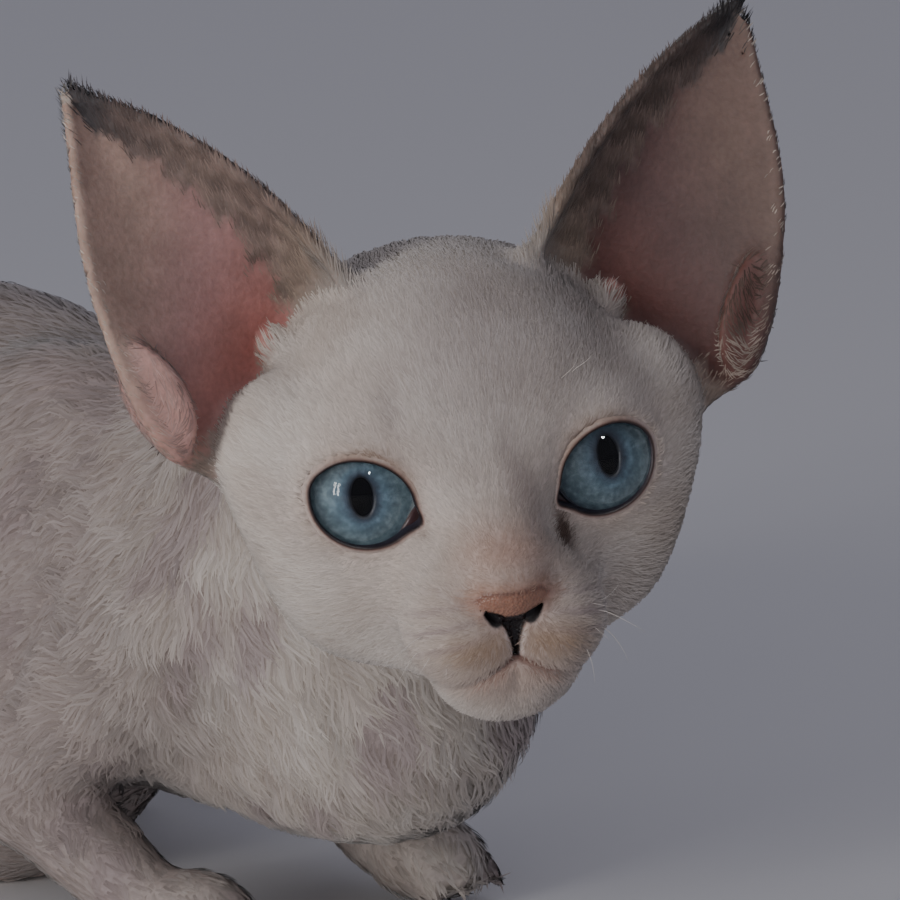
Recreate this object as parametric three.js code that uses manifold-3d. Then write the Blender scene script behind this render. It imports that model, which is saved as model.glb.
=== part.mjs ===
// Life-size model of a Devon Rex kitten about eleven weeks old, lying low on its chest with its head
// turned to its right. Millimetres, +Z up, floor at z = 0. The kitten faces -Y and its left is +X.
// The flesh is one smooth field of rounded masses, meshed once for each sub-part and parted by thin cuts.
import * as THREE from "three";
import { mergeVertices } from "three/addons/utils/BufferGeometryUtils.js";
import Module from "manifold-3d";

const wasm = await Module();
wasm.setup();

// Driving dimensions
const GAP = 0.3; // clearance between two sub-parts that meet
const EYES_MID = [-32, -65, 88]; // the point midway between the eyeballs
const HEAD_TURN = -38; // degrees, to the kitten's right
const HEAD_NOD = 4; // degrees, nose down
const HEAD_TILT = -4.5; // degrees, crown towards the kitten's right
const EYE_RADIUS = 8.4;
const EYE_APART = 17; // from the middle of the face to each eyeball's centre
const EAR_LENGTH = 58.5; // height of an ear's tip over the eyes
const BRISKET_END = 14; // y of the cut between the chest's front and the ribs
const CHEST_END = 60; // y of the cut between ribs and abdomen
const ABDOMEN_END = 119; // y of the cut between abdomen and rump
const LEG_MIDLINE = 4; // each leg's flesh keeps this far from the middle plane
const LIMB_MARGIN = 3.6; // flesh around a limb that goes with the limb's sub-part
const LIMB_BLEND = 8; // how softly an upper arm or a thigh runs into the trunk
const SHIN_BLEND = 3; // the same for what hangs from them
const COAT_DEPTH = 5; // the trunk's flesh lies this far inside the coat's outline
const HIDE_TOLERANCE = 0.3; // how far a simplified skin may move
const COAT_TOLERANCE = 0.5; // the same for a skin with its clumps
const HEAD_TOLERANCE = 0.12;
const FINAL_TOLERANCE = 0.1; // less than half the gap, so that neighbours stay apart
const CORE_STEP = 12; // grid under the clumps
const CASE_SIDES = 10; // of the cut around a limb

const degrees = Math.PI / 180;

// Points are arrays [x, y, z]
const plus = (a, b) => [a[0] + b[0], a[1] + b[1], a[2] + b[2]];
const minus = (a, b) => [a[0] - b[0], a[1] - b[1], a[2] - b[2]];
const times = (a, s) => [a[0] * s, a[1] * s, a[2] * s];
const dot = (a, b) => a[0] * b[0] + a[1] * b[1] + a[2] * b[2];
const unit = (a) => times(a, 1 / Math.hypot(...a));
const mirrored = (a, side) => [a[0] * side, a[1], a[2]];
const between = (a, b, t) => plus(a, times(minus(b, a), t));
const cross = (a, b) => [
  a[1] * b[2] - a[2] * b[1], a[2] * b[0] - a[0] * b[2], a[0] * b[1] - a[1] * b[0],
];

// Signed distances, near enough to true ones at the surface
function egg(p, centre, radii) {
  const x = p[0] - centre[0];
  const y = p[1] - centre[1];
  const z = p[2] - centre[2];
  const [a, b, c] = radii;
  const scaled = Math.hypot(x / a, y / b, z / c);
  const slope = Math.hypot(x / (a * a), y / (b * b), z / (c * c));
  return slope < 1e-9 ? -Math.min(a, b, c) : (scaled * (scaled - 1)) / slope;
}

function limb(p, from, fromRadius, to, toRadius) {
  const along = minus(to, from);
  const t = THREE.MathUtils.clamp(dot(minus(p, from), along) / dot(along, along), 0, 1);
  return Math.hypot(...minus(p, between(from, to, t))) - fromRadius - (toRadius - fromRadius) * t;
}

// Smooth union: surfaces closer than reach melt into each other
function blend(a, b, reach) {
  const h = Math.max(reach - Math.abs(a - b), 0);
  return Math.min(a, b) - (h * h) / (4 * reach);
}

// The head's own frame: origin midway between the eyes, +x the kitten's left, -y forward
const HEAD = new THREE.Matrix4().makeRotationZ(HEAD_TURN * degrees)
  .multiply(new THREE.Matrix4().makeRotationX(HEAD_NOD * degrees))
  .multiply(new THREE.Matrix4().makeRotationY(HEAD_TILT * degrees))
  .setPosition(...EYES_MID);
const FROM_HEAD = HEAD.elements;
const TO_HEAD = HEAD.clone().invert().elements;

function moved(m, p) {
  const [x, y, z] = p;
  return [
    m[0] * x + m[4] * y + m[8] * z + m[12],
    m[1] * x + m[5] * y + m[9] * z + m[13],
    m[2] * x + m[6] * y + m[10] * z + m[14],
  ];
}

// Masses of the head, in its own frame and for its left half
const SKULL = [[0, 23, 6.5], [28.5, 30, 23]];
const FOREHEAD = [[0, 8, 9.5], [20, 17, 16.5]];
const BROW = [[15, 3, 7], [10, 8, 6.5]];
const CHEEKBONE = [[22, 10, -3], [12, 13, 12.5]];
const TEMPLE = [[26.5, 10, 4], [9.5, 9, 12]];
const CHEEK = [[17, 12, -14], [13.5, 16, 13.5]];
const NOSE_TIP = [[0, -16, -13], [5.6, 5, 4.8]];
const WHISKER_PAD = [[6.6, -11, -19.8], [8.2, 7.8, 6.8]];
const CHIN = [[0, -6.5, -28], [8.6, 7, 6]];
const EYE_AT = [EYE_APART, 0, 0];
const LID_THICKNESS = 1.4;

function headFlesh(p) {
  const q = [Math.abs(p[0]), p[1], p[2]];
  let d = blend(egg(q, ...SKULL), egg(q, ...FOREHEAD), 10);
  d = blend(d, egg(q, ...CHEEKBONE), 8);
  d = blend(d, egg(q, ...CHEEK), 8);
  d = blend(d, egg(q, ...TEMPLE), 5);
  d = blend(d, limb(q, [0, 2, -14], 12, [0, -8, -19], 8), 6);
  d = blend(d, limb(q, [0, 0, 4], 7.5, [0, -13, -9], 5.4), 6);
  d = blend(d, limb(q, [11, 3, -11], 8, [6.5, -8, -16], 6), 6);
  d = blend(d, egg(q, ...BROW), 5);
  d = blend(d, limb(q, [0, -3, -24], 8, [14, 16, -18], 11), 5);
  d = blend(d, egg(q, ...CHIN), 3);
  d = blend(d, egg(q, ...WHISKER_PAD), 4);
  d = blend(d, egg(q, ...NOSE_TIP), 2);
  return blend(d, egg(q, EYE_AT, Array(3).fill(EYE_RADIUS + LID_THICKNESS)), 3);
}

// Masses of the trunk, for its left half
const RIBS = [[0, 20, 57], [31, 50, 38.5]];
const BRISKET = [[0, -12, 49], [27, 31, 33]];
const SHOULDER_BLADE = [[15, 38, 79], [12, 24, 18]];
const BELLY = [[0, 84, 38.8], [38, 48, 46]];
const BACK = [[0, 82, 69], [26, 60, 31]];
const RUMP = [[0, 132, 56], [32, 33, 42]];
const NECK = [[0, 4, 71], 28, [-8.4, -35, 84], 21.5];

function trunkFlesh(p) {
  const q = [Math.abs(p[0]), p[1], p[2]];
  let d = blend(egg(q, ...RIBS), egg(q, ...BRISKET), 14);
  d = blend(d, egg(q, ...BELLY), 16);
  d = blend(d, egg(q, ...BACK), 14);
  d = blend(d, egg(q, ...RUMP), 14);
  d = blend(d, egg(q, ...SHOULDER_BLADE), 8);
  return blend(d, limb(p, ...NECK), 14) + COAT_DEPTH;
}

// A paw: a rounded pad with four toes in front
const TOE_SPREAD = 4.4;
const TOE = [2.9, 5.2, 4.6];

function pawFlesh(p, centre, radii, toeReach) {
  let d = egg(p, centre, radii);
  for (let toe = 0; toe < 4; toe += 1) {
    const across = (toe - 1.5) * TOE_SPREAD;
    const forward = toeReach - Math.abs(toe - 1.5) * 1.6;
    d = blend(d, egg(p, [centre[0] + across, centre[1] - forward, 5], TOE), 1.2);
  }
  return d;
}

// Front limb, side +1 for the kitten's left, whose paw stands further forward
const PAW_LEAD = 6;

const ARM_RADII = [16, 9]; // at the shoulder, with its coat, and at the elbow
const FOREARM_RADII = [10, 7.8];
const THIGH_RADII = [23, 14];
const SHANK_RADII = [12, 7.5];
const FOREPAW = [9.6, 12, 8.6];
const HINDPAW = [9, 12, 8.2];

const frontBones = (side) => ({
  shoulder: mirrored([17, 3, 62], side),
  elbow: mirrored([31, 36, 27], side),
  wrist: mirrored([25, side > 0 ? 16 - PAW_LEAD : 16, 10], side),
  paw: mirrored([24, side > 0 ? 5 - PAW_LEAD : 5, 8], side),
});

function upperArm(p, side) {
  const { shoulder, elbow } = frontBones(side);
  return limb(p, shoulder, ARM_RADII[0] - COAT_DEPTH, elbow, ARM_RADII[1]);
}

function forearm(p, side) {
  const { elbow, wrist, paw } = frontBones(side);
  return blend(limb(p, elbow, FOREARM_RADII[0], wrist, FOREARM_RADII[1]), pawFlesh(p, paw, FOREPAW, 9), 3);
}

// Hind limb: thigh, folded shank and the long foot flat on the floor
const hindBones = (side) => ({
  hip: mirrored([22, 134, 58], side),
  knee: mirrored([34, 90, 37], side),
  hock: mirrored([32, 149, 14], side),
  paw: mirrored([34, 90, 7.2], side),
});

function thigh(p, side) {
  const { hip, knee } = hindBones(side);
  return limb(p, hip, THIGH_RADII[0] - COAT_DEPTH, knee, THIGH_RADII[1]);
}

function shank(p, side) {
  const { knee, hock, paw } = hindBones(side);
  const foot = limb(p, hock, SHANK_RADII[1], plus(paw, [0, 10, 0]), 7);
  const d = blend(limb(p, knee, SHANK_RADII[0], hock, SHANK_RADII[1]), foot, 3);
  return blend(d, pawFlesh(p, paw, HINDPAW, 9), 3);
}

// The trunk with the parts of the limbs that carry the curly coat
function clad(p, trunk = trunkFlesh(p)) {
  let d = trunk;
  for (const side of [1, -1]) {
    if (p[0] * side < -2) continue;
    d = blend(d, upperArm(p, side), LIMB_BLEND);
    d = blend(d, thigh(p, side), LIMB_BLEND);
  }
  return d;
}

function withShins(body, p) {
  let d = body;
  for (const side of [1, -1]) {
    if (p[0] * side < -2) continue;
    d = blend(d, forearm(p, side), SHIN_BLEND);
    d = blend(d, shank(p, side), SHIN_BLEND);
  }
  return d;
}

// Tail, curled forward along the kitten's left side on the floor
const TAIL_PATH = new THREE.CatmullRomCurve3([
  [0, 152, 58], [3, 172, 42], [10, 186, 21], [26, 190, 7.4], [45, 179, 4.6], [58, 158, 4.3],
  [64, 134, 4.1], [65, 110, 3.8], [62, 88, 3.6], [56, 70, 3.4],
].map((p) => new THREE.Vector3(...p)));
const TAIL_STEPS = 40;
const TAIL_POINTS = TAIL_PATH.getSpacedPoints(TAIL_STEPS).map((p) => p.toArray());
const tailRadius = (t) => 10 - 4.6 * Math.min(t / 0.35, 1) - 1.6 * t;

function tailFlesh(p) {
  let d = Infinity;
  for (let i = 0; i < TAIL_STEPS; i += 1) {
    const radii = [tailRadius(i / TAIL_STEPS), tailRadius((i + 1) / TAIL_STEPS)];
    d = Math.min(d, limb(p, TAIL_POINTS[i], radii[0], TAIL_POINTS[i + 1], radii[1]));
  }
  return d;
}

// The skin without the limbs' lower halves, and the whole of it, a little below the floor too
function uprights(p) {
  const d = clad(p, blend(trunkFlesh(p), headFlesh(moved(TO_HEAD, p)), 7));
  return p[1] > 140 ? blend(d, tailFlesh(p), 6) : d;
}

const flesh = (p) => withShins(uprights(p), p);

// Grid lines from low to high: finer between the two marks
function ruled(low, high, coarse, fine = coarse, from = low, to = low) {
  const lines = [low];
  while (lines.at(-1) < high) {
    const at = lines.at(-1);
    lines.push(at + (at > from - coarse && at < to ? fine : coarse));
  }
  return lines;
}

const CUBE_EDGES = [
  [0, 1], [2, 3], [4, 5], [6, 7], [0, 2], [1, 3], [4, 6], [5, 7], [0, 4], [1, 5], [2, 6], [3, 7],
];

// Whether the marked corners of a cube hang together along its edges
function joined(mask) {
  const marked = [...Array(8).keys()].filter((corner) => mask & (1 << corner));
  const reached = new Set(marked.slice(0, 1));
  for (let pass = 0; pass < 7; pass += 1) {
    for (const [a, b] of CUBE_EDGES) {
      if (!(mask & (1 << a)) || !(mask & (1 << b))) continue;
      if (reached.has(a) || reached.has(b)) reached.add(a).add(b);
    }
  }
  return reached.size === marked.length;
}

const TANGLED = [...Array(256).keys()].map((mask) => !joined(mask) || !joined(255 - mask));

// A closed net of triangles around the space where field is negative: one vertex in each grid
// cell that the surface crosses, drawn on to the surface and evened out along it.
function netOf(field, xs, ys, zs, evened = 3) {
  const [nx, ny, nz] = [xs.length, ys.length, zs.length];
  const at = (i, j, k) => i + nx * (j + ny * k);
  const value = new Float64Array(nx * ny * nz);
  for (let k = 0; k < nz; k += 1) {
    for (let j = 0; j < ny; j += 1) {
      for (let i = 0; i < nx; i += 1) {
        const rim = !i || !j || !k || i === nx - 1 || j === ny - 1 || k === nz - 1;
        const d = field([xs[i], ys[j], zs[k]]);
        value[at(i, j, k)] = rim ? Math.abs(d) + 0.5 : d || 1e-6;
      }
    }
  }
  const corners = [...Array(8).keys()].map((c) => at(c & 1, (c >> 1) & 1, c >> 2));
  const maskAt = (cell) => corners.reduce((m, step, c) => m | ((value[cell + step] < 0) << c), 0);
  untangle(value, [nx, ny, nz], at, corners, maskAt);
  const places = [];
  const pinned = [];
  const vertexOf = new Int32Array(value.length).fill(-1);
  for (let k = 0; k < nz - 1; k += 1) {
    for (let j = 0; j < ny - 1; j += 1) {
      for (let i = 0; i < nx - 1; i += 1) {
        const cell = at(i, j, k);
        const mask = maskAt(cell);
        if (mask === 0 || mask === 255) continue;
        vertexOf[cell] = places.length;
        places.push(crossing(value, cell, corners, [i, j, k], [xs, ys, zs]));
        pinned.push(!i || !j || !k || i === nx - 2 || j === ny - 2 || k === nz - 2);
      }
    }
  }
  const faces = facesOf(value, vertexOf, places, [nx, ny, nz], at);
  const reach = Math.max(xs[1] - xs[0], ys[1] - ys[0], zs[1] - zs[0]);
  for (let pass = 0; pass <= evened; pass += 1) {
    if (pass) evenOut(places, pinned, faces);
    places.forEach((p, i) => {
      if (!pinned[i]) drawn(field, p, reach);
    });
  }
  return { places, faces };
}

// Takes outside corners in where a cell would hold two sheets of the surface
function untangle(value, [nx, ny, nz], at, corners, maskAt) {
  for (let pass = 0; pass < 8; pass += 1) {
    let mended = 0;
    for (let k = 1; k < nz - 2; k += 1) {
      for (let j = 1; j < ny - 2; j += 1) {
        for (let i = 1; i < nx - 2; i += 1) {
          const cell = at(i, j, k);
          if (!TANGLED[maskAt(cell)]) continue;
          const outside = corners.filter((step) => value[cell + step] >= 0);
          outside.sort((a, b) => value[cell + a] - value[cell + b]);
          value[cell + outside[0]] = -1e-3;
          mended += 1;
        }
      }
    }
    if (!mended) return;
  }
}

// The middle of the points where a cell's edges cross the surface
function crossing(value, cell, corners, [i, j, k], [xs, ys, zs]) {
  const middle = [0, 0, 0];
  let count = 0;
  for (const [a, b] of CUBE_EDGES) {
    const va = value[cell + corners[a]];
    const vb = value[cell + corners[b]];
    if (va < 0 === vb < 0) continue;
    const t = va / (va - vb);
    const corner = (c) => [xs[i + (c & 1)], ys[j + ((c >> 1) & 1)], zs[k + (c >> 2)]];
    const p = between(corner(a), corner(b), t);
    for (let axis = 0; axis < 3; axis += 1) middle[axis] += p[axis];
    count += 1;
  }
  return times(middle, 1 / count);
}

// Two triangles for each grid edge that the surface crosses, facing out
function facesOf(value, vertexOf, places, [nx, ny, nz], at) {
  const faces = [];
  const square = (a, b, c, d, outward) => {
    const ring = outward ? [a, b, c, d] : [d, c, b, a];
    const [p, q, r, s] = ring.map((v) => places[v]);
    const short = Math.hypot(...minus(p, r)) < Math.hypot(...minus(q, s));
    const cut = short ? [0, 1, 2, 0, 2, 3] : [1, 2, 3, 1, 3, 0];
    for (const corner of cut) faces.push(ring[corner]);
  };
  const steps = [1, nx, nx * ny];
  for (let k = 1; k < nz - 1; k += 1) {
    for (let j = 1; j < ny - 1; j += 1) {
      for (let i = 1; i < nx - 1; i += 1) {
        for (const [axis, u, v] of [[0, 1, 2], [1, 2, 0], [2, 0, 1]]) {
          const here = at(i, j, k);
          const inside = value[here] < 0;
          if (inside === value[here + steps[axis]] < 0) continue;
          const [su, sv] = [steps[u], steps[v]];
          const cells = [here - su - sv, here - sv, here, here - su];
          square(...cells.map((cell) => vertexOf[cell]), inside);
        }
      }
    }
  }
  for (let k = 0; k < nz; k += 1) {
    for (let j = 0; j < ny; j += 1) {
      for (let i = 0; i < nx; i += 1) {
        if (i && j && k) continue;
        lowRim(i, j, k);
      }
    }
  }
  // Edges that start on the low sides of the grid and run inwards
  function lowRim(i, j, k) {
    const index = [i, j, k];
    const size = [nx, ny, nz];
    for (const [axis, u, v] of [[0, 1, 2], [1, 2, 0], [2, 0, 1]]) {
      if (index[axis] || !index[u] || !index[v]) continue;
      if (index[u] >= size[u] - 1 || index[v] >= size[v] - 1) continue;
      const here = at(i, j, k);
      if (value[here + steps[axis]] >= 0) continue;
      const [su, sv] = [steps[u], steps[v]];
      const cells = [here - su - sv, here - sv, here, here - su];
      square(...cells.map((cell) => vertexOf[cell]), false);
    }
  }
  return faces;
}

function evenOut(places, pinned, faces) {
  const sums = places.map(() => [0, 0, 0, 0]);
  for (let i = 0; i < faces.length; i += 3) {
    for (let corner = 0; corner < 3; corner += 1) {
      const sum = sums[faces[i + corner]];
      const next = places[faces[i + ((corner + 1) % 3)]];
      for (let axis = 0; axis < 3; axis += 1) sum[axis] += next[axis];
      sum[3] += 1;
    }
  }
  places.forEach((p, i) => {
    if (pinned[i]) return;
    for (let axis = 0; axis < 3; axis += 1) p[axis] += 0.5 * (sums[i][axis] / sums[i][3] - p[axis]);
  });
}

function slopeOf(field, p) {
  const h = 0.05;
  const d = field(p);
  return [
    (field([p[0] + h, p[1], p[2]]) - d) / h,
    (field([p[0], p[1] + h, p[2]]) - d) / h,
    (field([p[0], p[1], p[2] + h]) - d) / h,
  ];
}

// Moves p on to the surface, by no more than reach
function drawn(field, p, reach) {
  for (let pass = 0; pass < 2; pass += 1) {
    const d = field(p);
    const slope = slopeOf(field, p);
    const steep = Math.max(dot(slope, slope), 0.05);
    const step = THREE.MathUtils.clamp(-d / steep, -reach, reach);
    for (let axis = 0; axis < 3; axis += 1) p[axis] += slope[axis] * step;
  }
}

// Solids
function solidOfNet(net) {
  return new wasm.Manifold(new wasm.Mesh({
    numProp: 3,
    vertProperties: new Float32Array(net.places.flat()),
    triVerts: new Uint32Array(net.faces),
  }));
}

function solidOf(geometry, matrix = new THREE.Matrix4()) {
  const plain = geometry.index ? geometry.toNonIndexed() : geometry.clone();
  for (const name of Object.keys(plain.attributes)) {
    if (name !== "position") plain.deleteAttribute(name);
  }
  const merged = mergeVertices(plain.applyMatrix4(matrix), 1e-4);
  return new wasm.Manifold(new wasm.Mesh({
    numProp: 3,
    vertProperties: merged.attributes.position.array,
    triVerts: new Uint32Array(merged.index.array),
  }));
}

function geometryOf(solid) {
  const { numProp, vertProperties, triVerts } = solid.getMesh();
  const places = new Float32Array((vertProperties.length / numProp) * 3);
  for (let v = 0; v < places.length / 3; v += 1) {
    for (let axis = 0; axis < 3; axis += 1) places[v * 3 + axis] = vertProperties[v * numProp + axis];
  }
  const geometry = new THREE.BufferGeometry();
  geometry.setAttribute("position", new THREE.BufferAttribute(places, 3));
  geometry.setIndex(new THREE.BufferAttribute(new Uint32Array(triVerts), 1));
  geometry.computeVertexNormals();
  return geometry;
}

function largest(solid) {
  const pieces = solid.decompose();
  pieces.sort((a, b) => b.volume() - a.volume());
  return pieces[0];
}

// The part of a solid on the side of a plane that its direction points to, kept off it by half a gap
function keptPast(solid, point, direction, off = GAP / 2) {
  const n = unit(direction);
  return solid.trimByPlane(n, dot(n, point) + off);
}

// The same solid with every vertex moved out, so that its faces stand off by the given distance
function grown(solid, by) {
  const { vertProperties, triVerts, numProp } = solid.getMesh();
  const count = vertProperties.length / numProp;
  const places = [];
  for (let v = 0; v < count; v += 1) {
    places.push([...vertProperties.slice(v * numProp, v * numProp + 3)]);
  }
  const sums = places.map(() => [0, 0, 0]);
  const around = places.map(() => []);
  for (let i = 0; i < triVerts.length; i += 3) {
    const [a, b, c] = [0, 1, 2].map((corner) => triVerts[i + corner]);
    const u = new THREE.Vector3(...minus(places[b], places[a]));
    const w = new THREE.Vector3(...minus(places[c], places[a]));
    const cross = u.cross(w);
    const normal = cross.clone().normalize().toArray();
    [[a, b, c], [b, c, a], [c, a, b]].forEach(([here, next, last]) => {
      const to = new THREE.Vector3(...minus(places[next], places[here]));
      const back = new THREE.Vector3(...minus(places[last], places[here]));
      sums[here] = plus(sums[here], times(normal, to.angleTo(back)));
      around[here].push(normal);
    });
  }
  const out = places.map((p, v) => {
    const n = unit(sums[v]);
    const narrowest = Math.min(...around[v].map((normal) => dot(n, normal)));
    return plus(p, times(n, by / Math.max(narrowest, 0.6)));
  });
  return solidOfNet({ places: out, faces: [...triVerts] });
}

// Curly coat: rounded clumps that lie back along the body, their roots sunk in the flesh
const CLUMP_LENGTH = 36;
const CLUMP_WIDTH = 21;
const CLUMP_DEPTH = 4.6; // half its thickness
const CLUMP_SIDES = 6;
const CLUMP_RINGS = [0.17, 0.5, 0.83];
const CLUMP_SWAY = 3.2; // how far its curl swings to the side
const CLUMP_VARIES = 0.08;
const CLUMP_ROW = 23; // from one row of clumps to the next
const CLUMP_APART = 17; // from one clump to the next in a row
const CLUMP_FLOOR = 13; // no clump starts lower than this
const CLUMP_FLOOR_FRONT = 27; // nor lower than this between the forelegs
const CLUMP_CLEAR = 7; // from the forearms, shanks and feet
const CLUMP_BELOW_HEAD = 6; // from the head
const CLUMP_SINKS = 1.6; // its middle line's depth in the flesh at the root, and its lift at the tip
const CLUMP_FALL = 0.75; // how steeply it hangs
const CLUMP_BACK = 1; // how far it runs back, and the same on the chest
const CLUMP_BACK_FRONT = 0.45;

function seeded(seed) {
  let state = seed;
  return (low, high) => {
    state = (state * 16807) % 2147483647;
    return low + ((high - low) * state) / 2147483647;
  };
}

// One clump: a squashed drop that follows the flesh, its tip lifted just clear
function clump(root, lie, chance) {
  const vary = () => 1 + chance(-CLUMP_VARIES, CLUMP_VARIES);
  const [long, wide, deep] = [CLUMP_LENGTH * vary(), CLUMP_WIDTH * vary(), CLUMP_DEPTH * vary()];
  const sway = chance(-CLUMP_SWAY, CLUMP_SWAY);
  const bend = Math.sign(chance(-1, 1)) * Math.PI * chance(1, 1.6);
  const aside = unit(cross(unit(slopeOf(clad, root)), lie));
  const centreAt = (t) => {
    const p = plus(plus(root, times(lie, t * long)), times(aside, sway * Math.sin(bend * t)));
    drawn(clad, p, CLUMP_LENGTH);
    const out = unit(slopeOf(clad, p));
    return { p: plus(p, times(out, CLUMP_SINKS * (2 * t - 1))), out };
  };
  const places = [centreAt(0).p];
  for (const t of CLUMP_RINGS) {
    const { p, out } = centreAt(t);
    const across = unit(cross(out, lie));
    const swell = Math.sin(Math.PI * (0.12 + 0.8 * t) ** 0.9) ** 0.6;
    for (let side = 0; side < CLUMP_SIDES; side += 1) {
      const angle = (side / CLUMP_SIDES) * 2 * Math.PI;
      const sideways = times(across, (wide / 2) * swell * Math.cos(angle));
      places.push(plus(plus(p, sideways), times(out, deep * swell * Math.sin(angle))));
    }
  }
  places.push(centreAt(1).p);
  const at = (ring, side) => 1 + ring * CLUMP_SIDES + (side % CLUMP_SIDES);
  const faces = [];
  const last = CLUMP_RINGS.length - 1;
  for (let side = 0; side < CLUMP_SIDES; side += 1) {
    faces.push(0, at(0, side + 1), at(0, side));
    faces.push(places.length - 1, at(last, side), at(last, side + 1));
    for (let ring = 0; ring < last; ring += 1) {
      faces.push(at(ring, side), at(ring + 1, side + 1), at(ring + 1, side));
      faces.push(at(ring, side), at(ring, side + 1), at(ring + 1, side + 1));
    }
  }
  return { places, faces };
}

// Rows of clumps on rings about the body's middle line, fanned out over its two ends
const COAT_AXIS = [[0, 2, 56], [0, 128, 54]];
const COAT_FAN = [80, 75]; // degrees that the rows lean past each end
const CLUMP_LEAN = 28; // from one leaning row to the next
const COAT_REACH = 120; // the rays that find the skin start this far out
const TRUNK_RADIUS = 42;
const NECK_RADIUS = 24;

function coatRows() {
  const [front, rear] = COAT_AXIS;
  const rows = [];
  for (let t = 0.9; t > 0.3; t -= 0.4) {
    rows.push({ centre: between(NECK[0], NECK[2], t), along: unit(minus(NECK[0], NECK[2])), lean: 0 });
  }
  for (let lean = COAT_FAN[0]; lean > 0; lean -= CLUMP_LEAN) {
    rows.push({ centre: front, along: [0, 1, 0], lean: -lean });
  }
  for (let y = 0; y <= rear[1] - front[1]; y += CLUMP_ROW) {
    rows.push({ centre: between(front, rear, y / (rear[1] - front[1])), along: [0, 1, 0], lean: 0 });
  }
  for (let lean = CLUMP_LEAN; lean < COAT_FAN[1]; lean += CLUMP_LEAN) {
    rows.push({ centre: rear, along: [0, 1, 0], lean });
  }
  return rows;
}

function coatClumps() {
  const chance = seeded(11);
  const clumps = [];
  coatRows().forEach(({ centre, along, lean }, row) => {
    const tilt = lean * degrees;
    const radius = (along[2] ? NECK_RADIUS : TRUNK_RADIUS) * Math.cos(tilt);
    const count = Math.max(Math.round((2 * Math.PI * radius) / CLUMP_APART), 3);
    const across = unit(cross(along, [0, 0, 1]));
    const up = cross(across, along);
    for (let i = 0; i < count; i += 1) {
      const angle = ((i + (row % 2) / 2 + chance(-0.08, 0.08)) / count) * 2 * Math.PI;
      const turn = plus(times(across, Math.sin(angle)), times(up, Math.cos(angle)));
      const ray = plus(times(turn, Math.cos(tilt)), times(along, Math.sin(tilt)));
      const root = landed(plus(centre, times(ray, COAT_REACH)), times(ray, -1));
      const lowest = root && root[1] < BRISKET_END ? CLUMP_FLOOR_FRONT : CLUMP_FLOOR;
      if (!root || root[2] < lowest) continue;
      if (headFlesh(moved(TO_HEAD, root)) < CLUMP_BELOW_HEAD) continue;
      const out = unit(slopeOf(clad, root));
      const back = root[1] < BRISKET_END ? CLUMP_BACK_FRONT : CLUMP_BACK;
      const wanted = [0, back, chance(-0.1, 0.1) - CLUMP_FALL];
      const lie = unit(minus(wanted, times(out, dot(wanted, out))));
      const near = [0, 0.5, 1].map((t) => lowerLimbs(plus(root, times(lie, t * CLUMP_LENGTH))));
      if (Math.min(...near) > CLUMP_CLEAR) clumps.push(clump(root, lie, chance));
    }
  });
  return clumps;
}

const lowerLimbs = (p) => Math.min(forearm(p, 1), forearm(p, -1), shank(p, 1), shank(p, -1));

// Where a ray from far outside first meets the flesh
function landed(from, direction) {
  let p = from;
  for (let step = 0; step < 60; step += 1) {
    const d = clad(p);
    if (d < 0.05) return p;
    if (d > COAT_REACH * 1.5) return null;
    p = plus(p, times(direction, d * 0.8));
  }
  return p;
}

const COAT = wasm.Manifold.union(coatClumps().map(solidOfNet));

// Flesh in a box of the part's frame, cut flat at the floor
const FLOOR_MARGIN = -10;

function fleshIn(low, high, step, field) {
  const net = netOf(field, ...[0, 1, 2].map((axis) => ruled(low[axis], high[axis], step)));
  return keptPast(solidOfNet(net).simplify(HIDE_TOLERANCE), [0, 0, 0], [0, 0, 1], 0);
}

// The same with its coat
function coatedIn(low, high) {
  const room = wasm.Manifold.cube(minus(high, low)).translate(low);
  const core = fleshIn(low, high, CORE_STEP, uprights);
  const coated = largest(core.add(COAT.intersect(room)).asOriginal().simplify(COAT_TOLERANCE));
  return keptPast(coated, [0, 0, 0], [0, 0, 1], 0);
}

const material = (colour, roughness) => new THREE.MeshStandardMaterial({
  color: colour, roughness, metalness: 0,
});
const HIDE = material(0xb9b4b0, 0.9);
const EAR_SKIN = material(0xa78f88, 0.75);
const NOSE_LEATHER = material(0xb98d80, 0.5);
const IRIS = material(0x5f879b, 0.1);

const group = new THREE.Group();
group.name = "devon_rex_kitten";

function add(name, solid, finish = HIDE) {
  const mesh = new THREE.Mesh(geometryOf(largest(solid.asOriginal().simplify(FINAL_TOLERANCE))), finish);
  mesh.name = name;
  group.add(mesh);
}

const sides = [["left", 1], ["right", -1]];

function ball(radius, centre, around = 14) {
  const sphere = new THREE.SphereGeometry(radius, around, Math.round(around * 0.6));
  return solidOf(sphere, new THREE.Matrix4().makeTranslation(...centre));
}

// Cuts across the neck
const NAPE_CUT = [moved(FROM_HEAD, [0, 22, -26]), null];
NAPE_CUT[1] = minus(moved(FROM_HEAD, [0, 22 - 0.826, -26 + 0.564]), NAPE_CUT[0]);
const NECK_CUT = [[0, -36, 62], [0, -0.485, 0.874]];
const back = (cut) => [cut[0], times(cut[1], -1)];

// Limbs: each is the flesh inside a few-sided case around its own bones
function casing(...balls) {
  const round = balls.map(([centre, radius]) => ball(radius + LIMB_MARGIN, centre, CASE_SIDES));
  return wasm.Manifold.hull(round);
}

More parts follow.
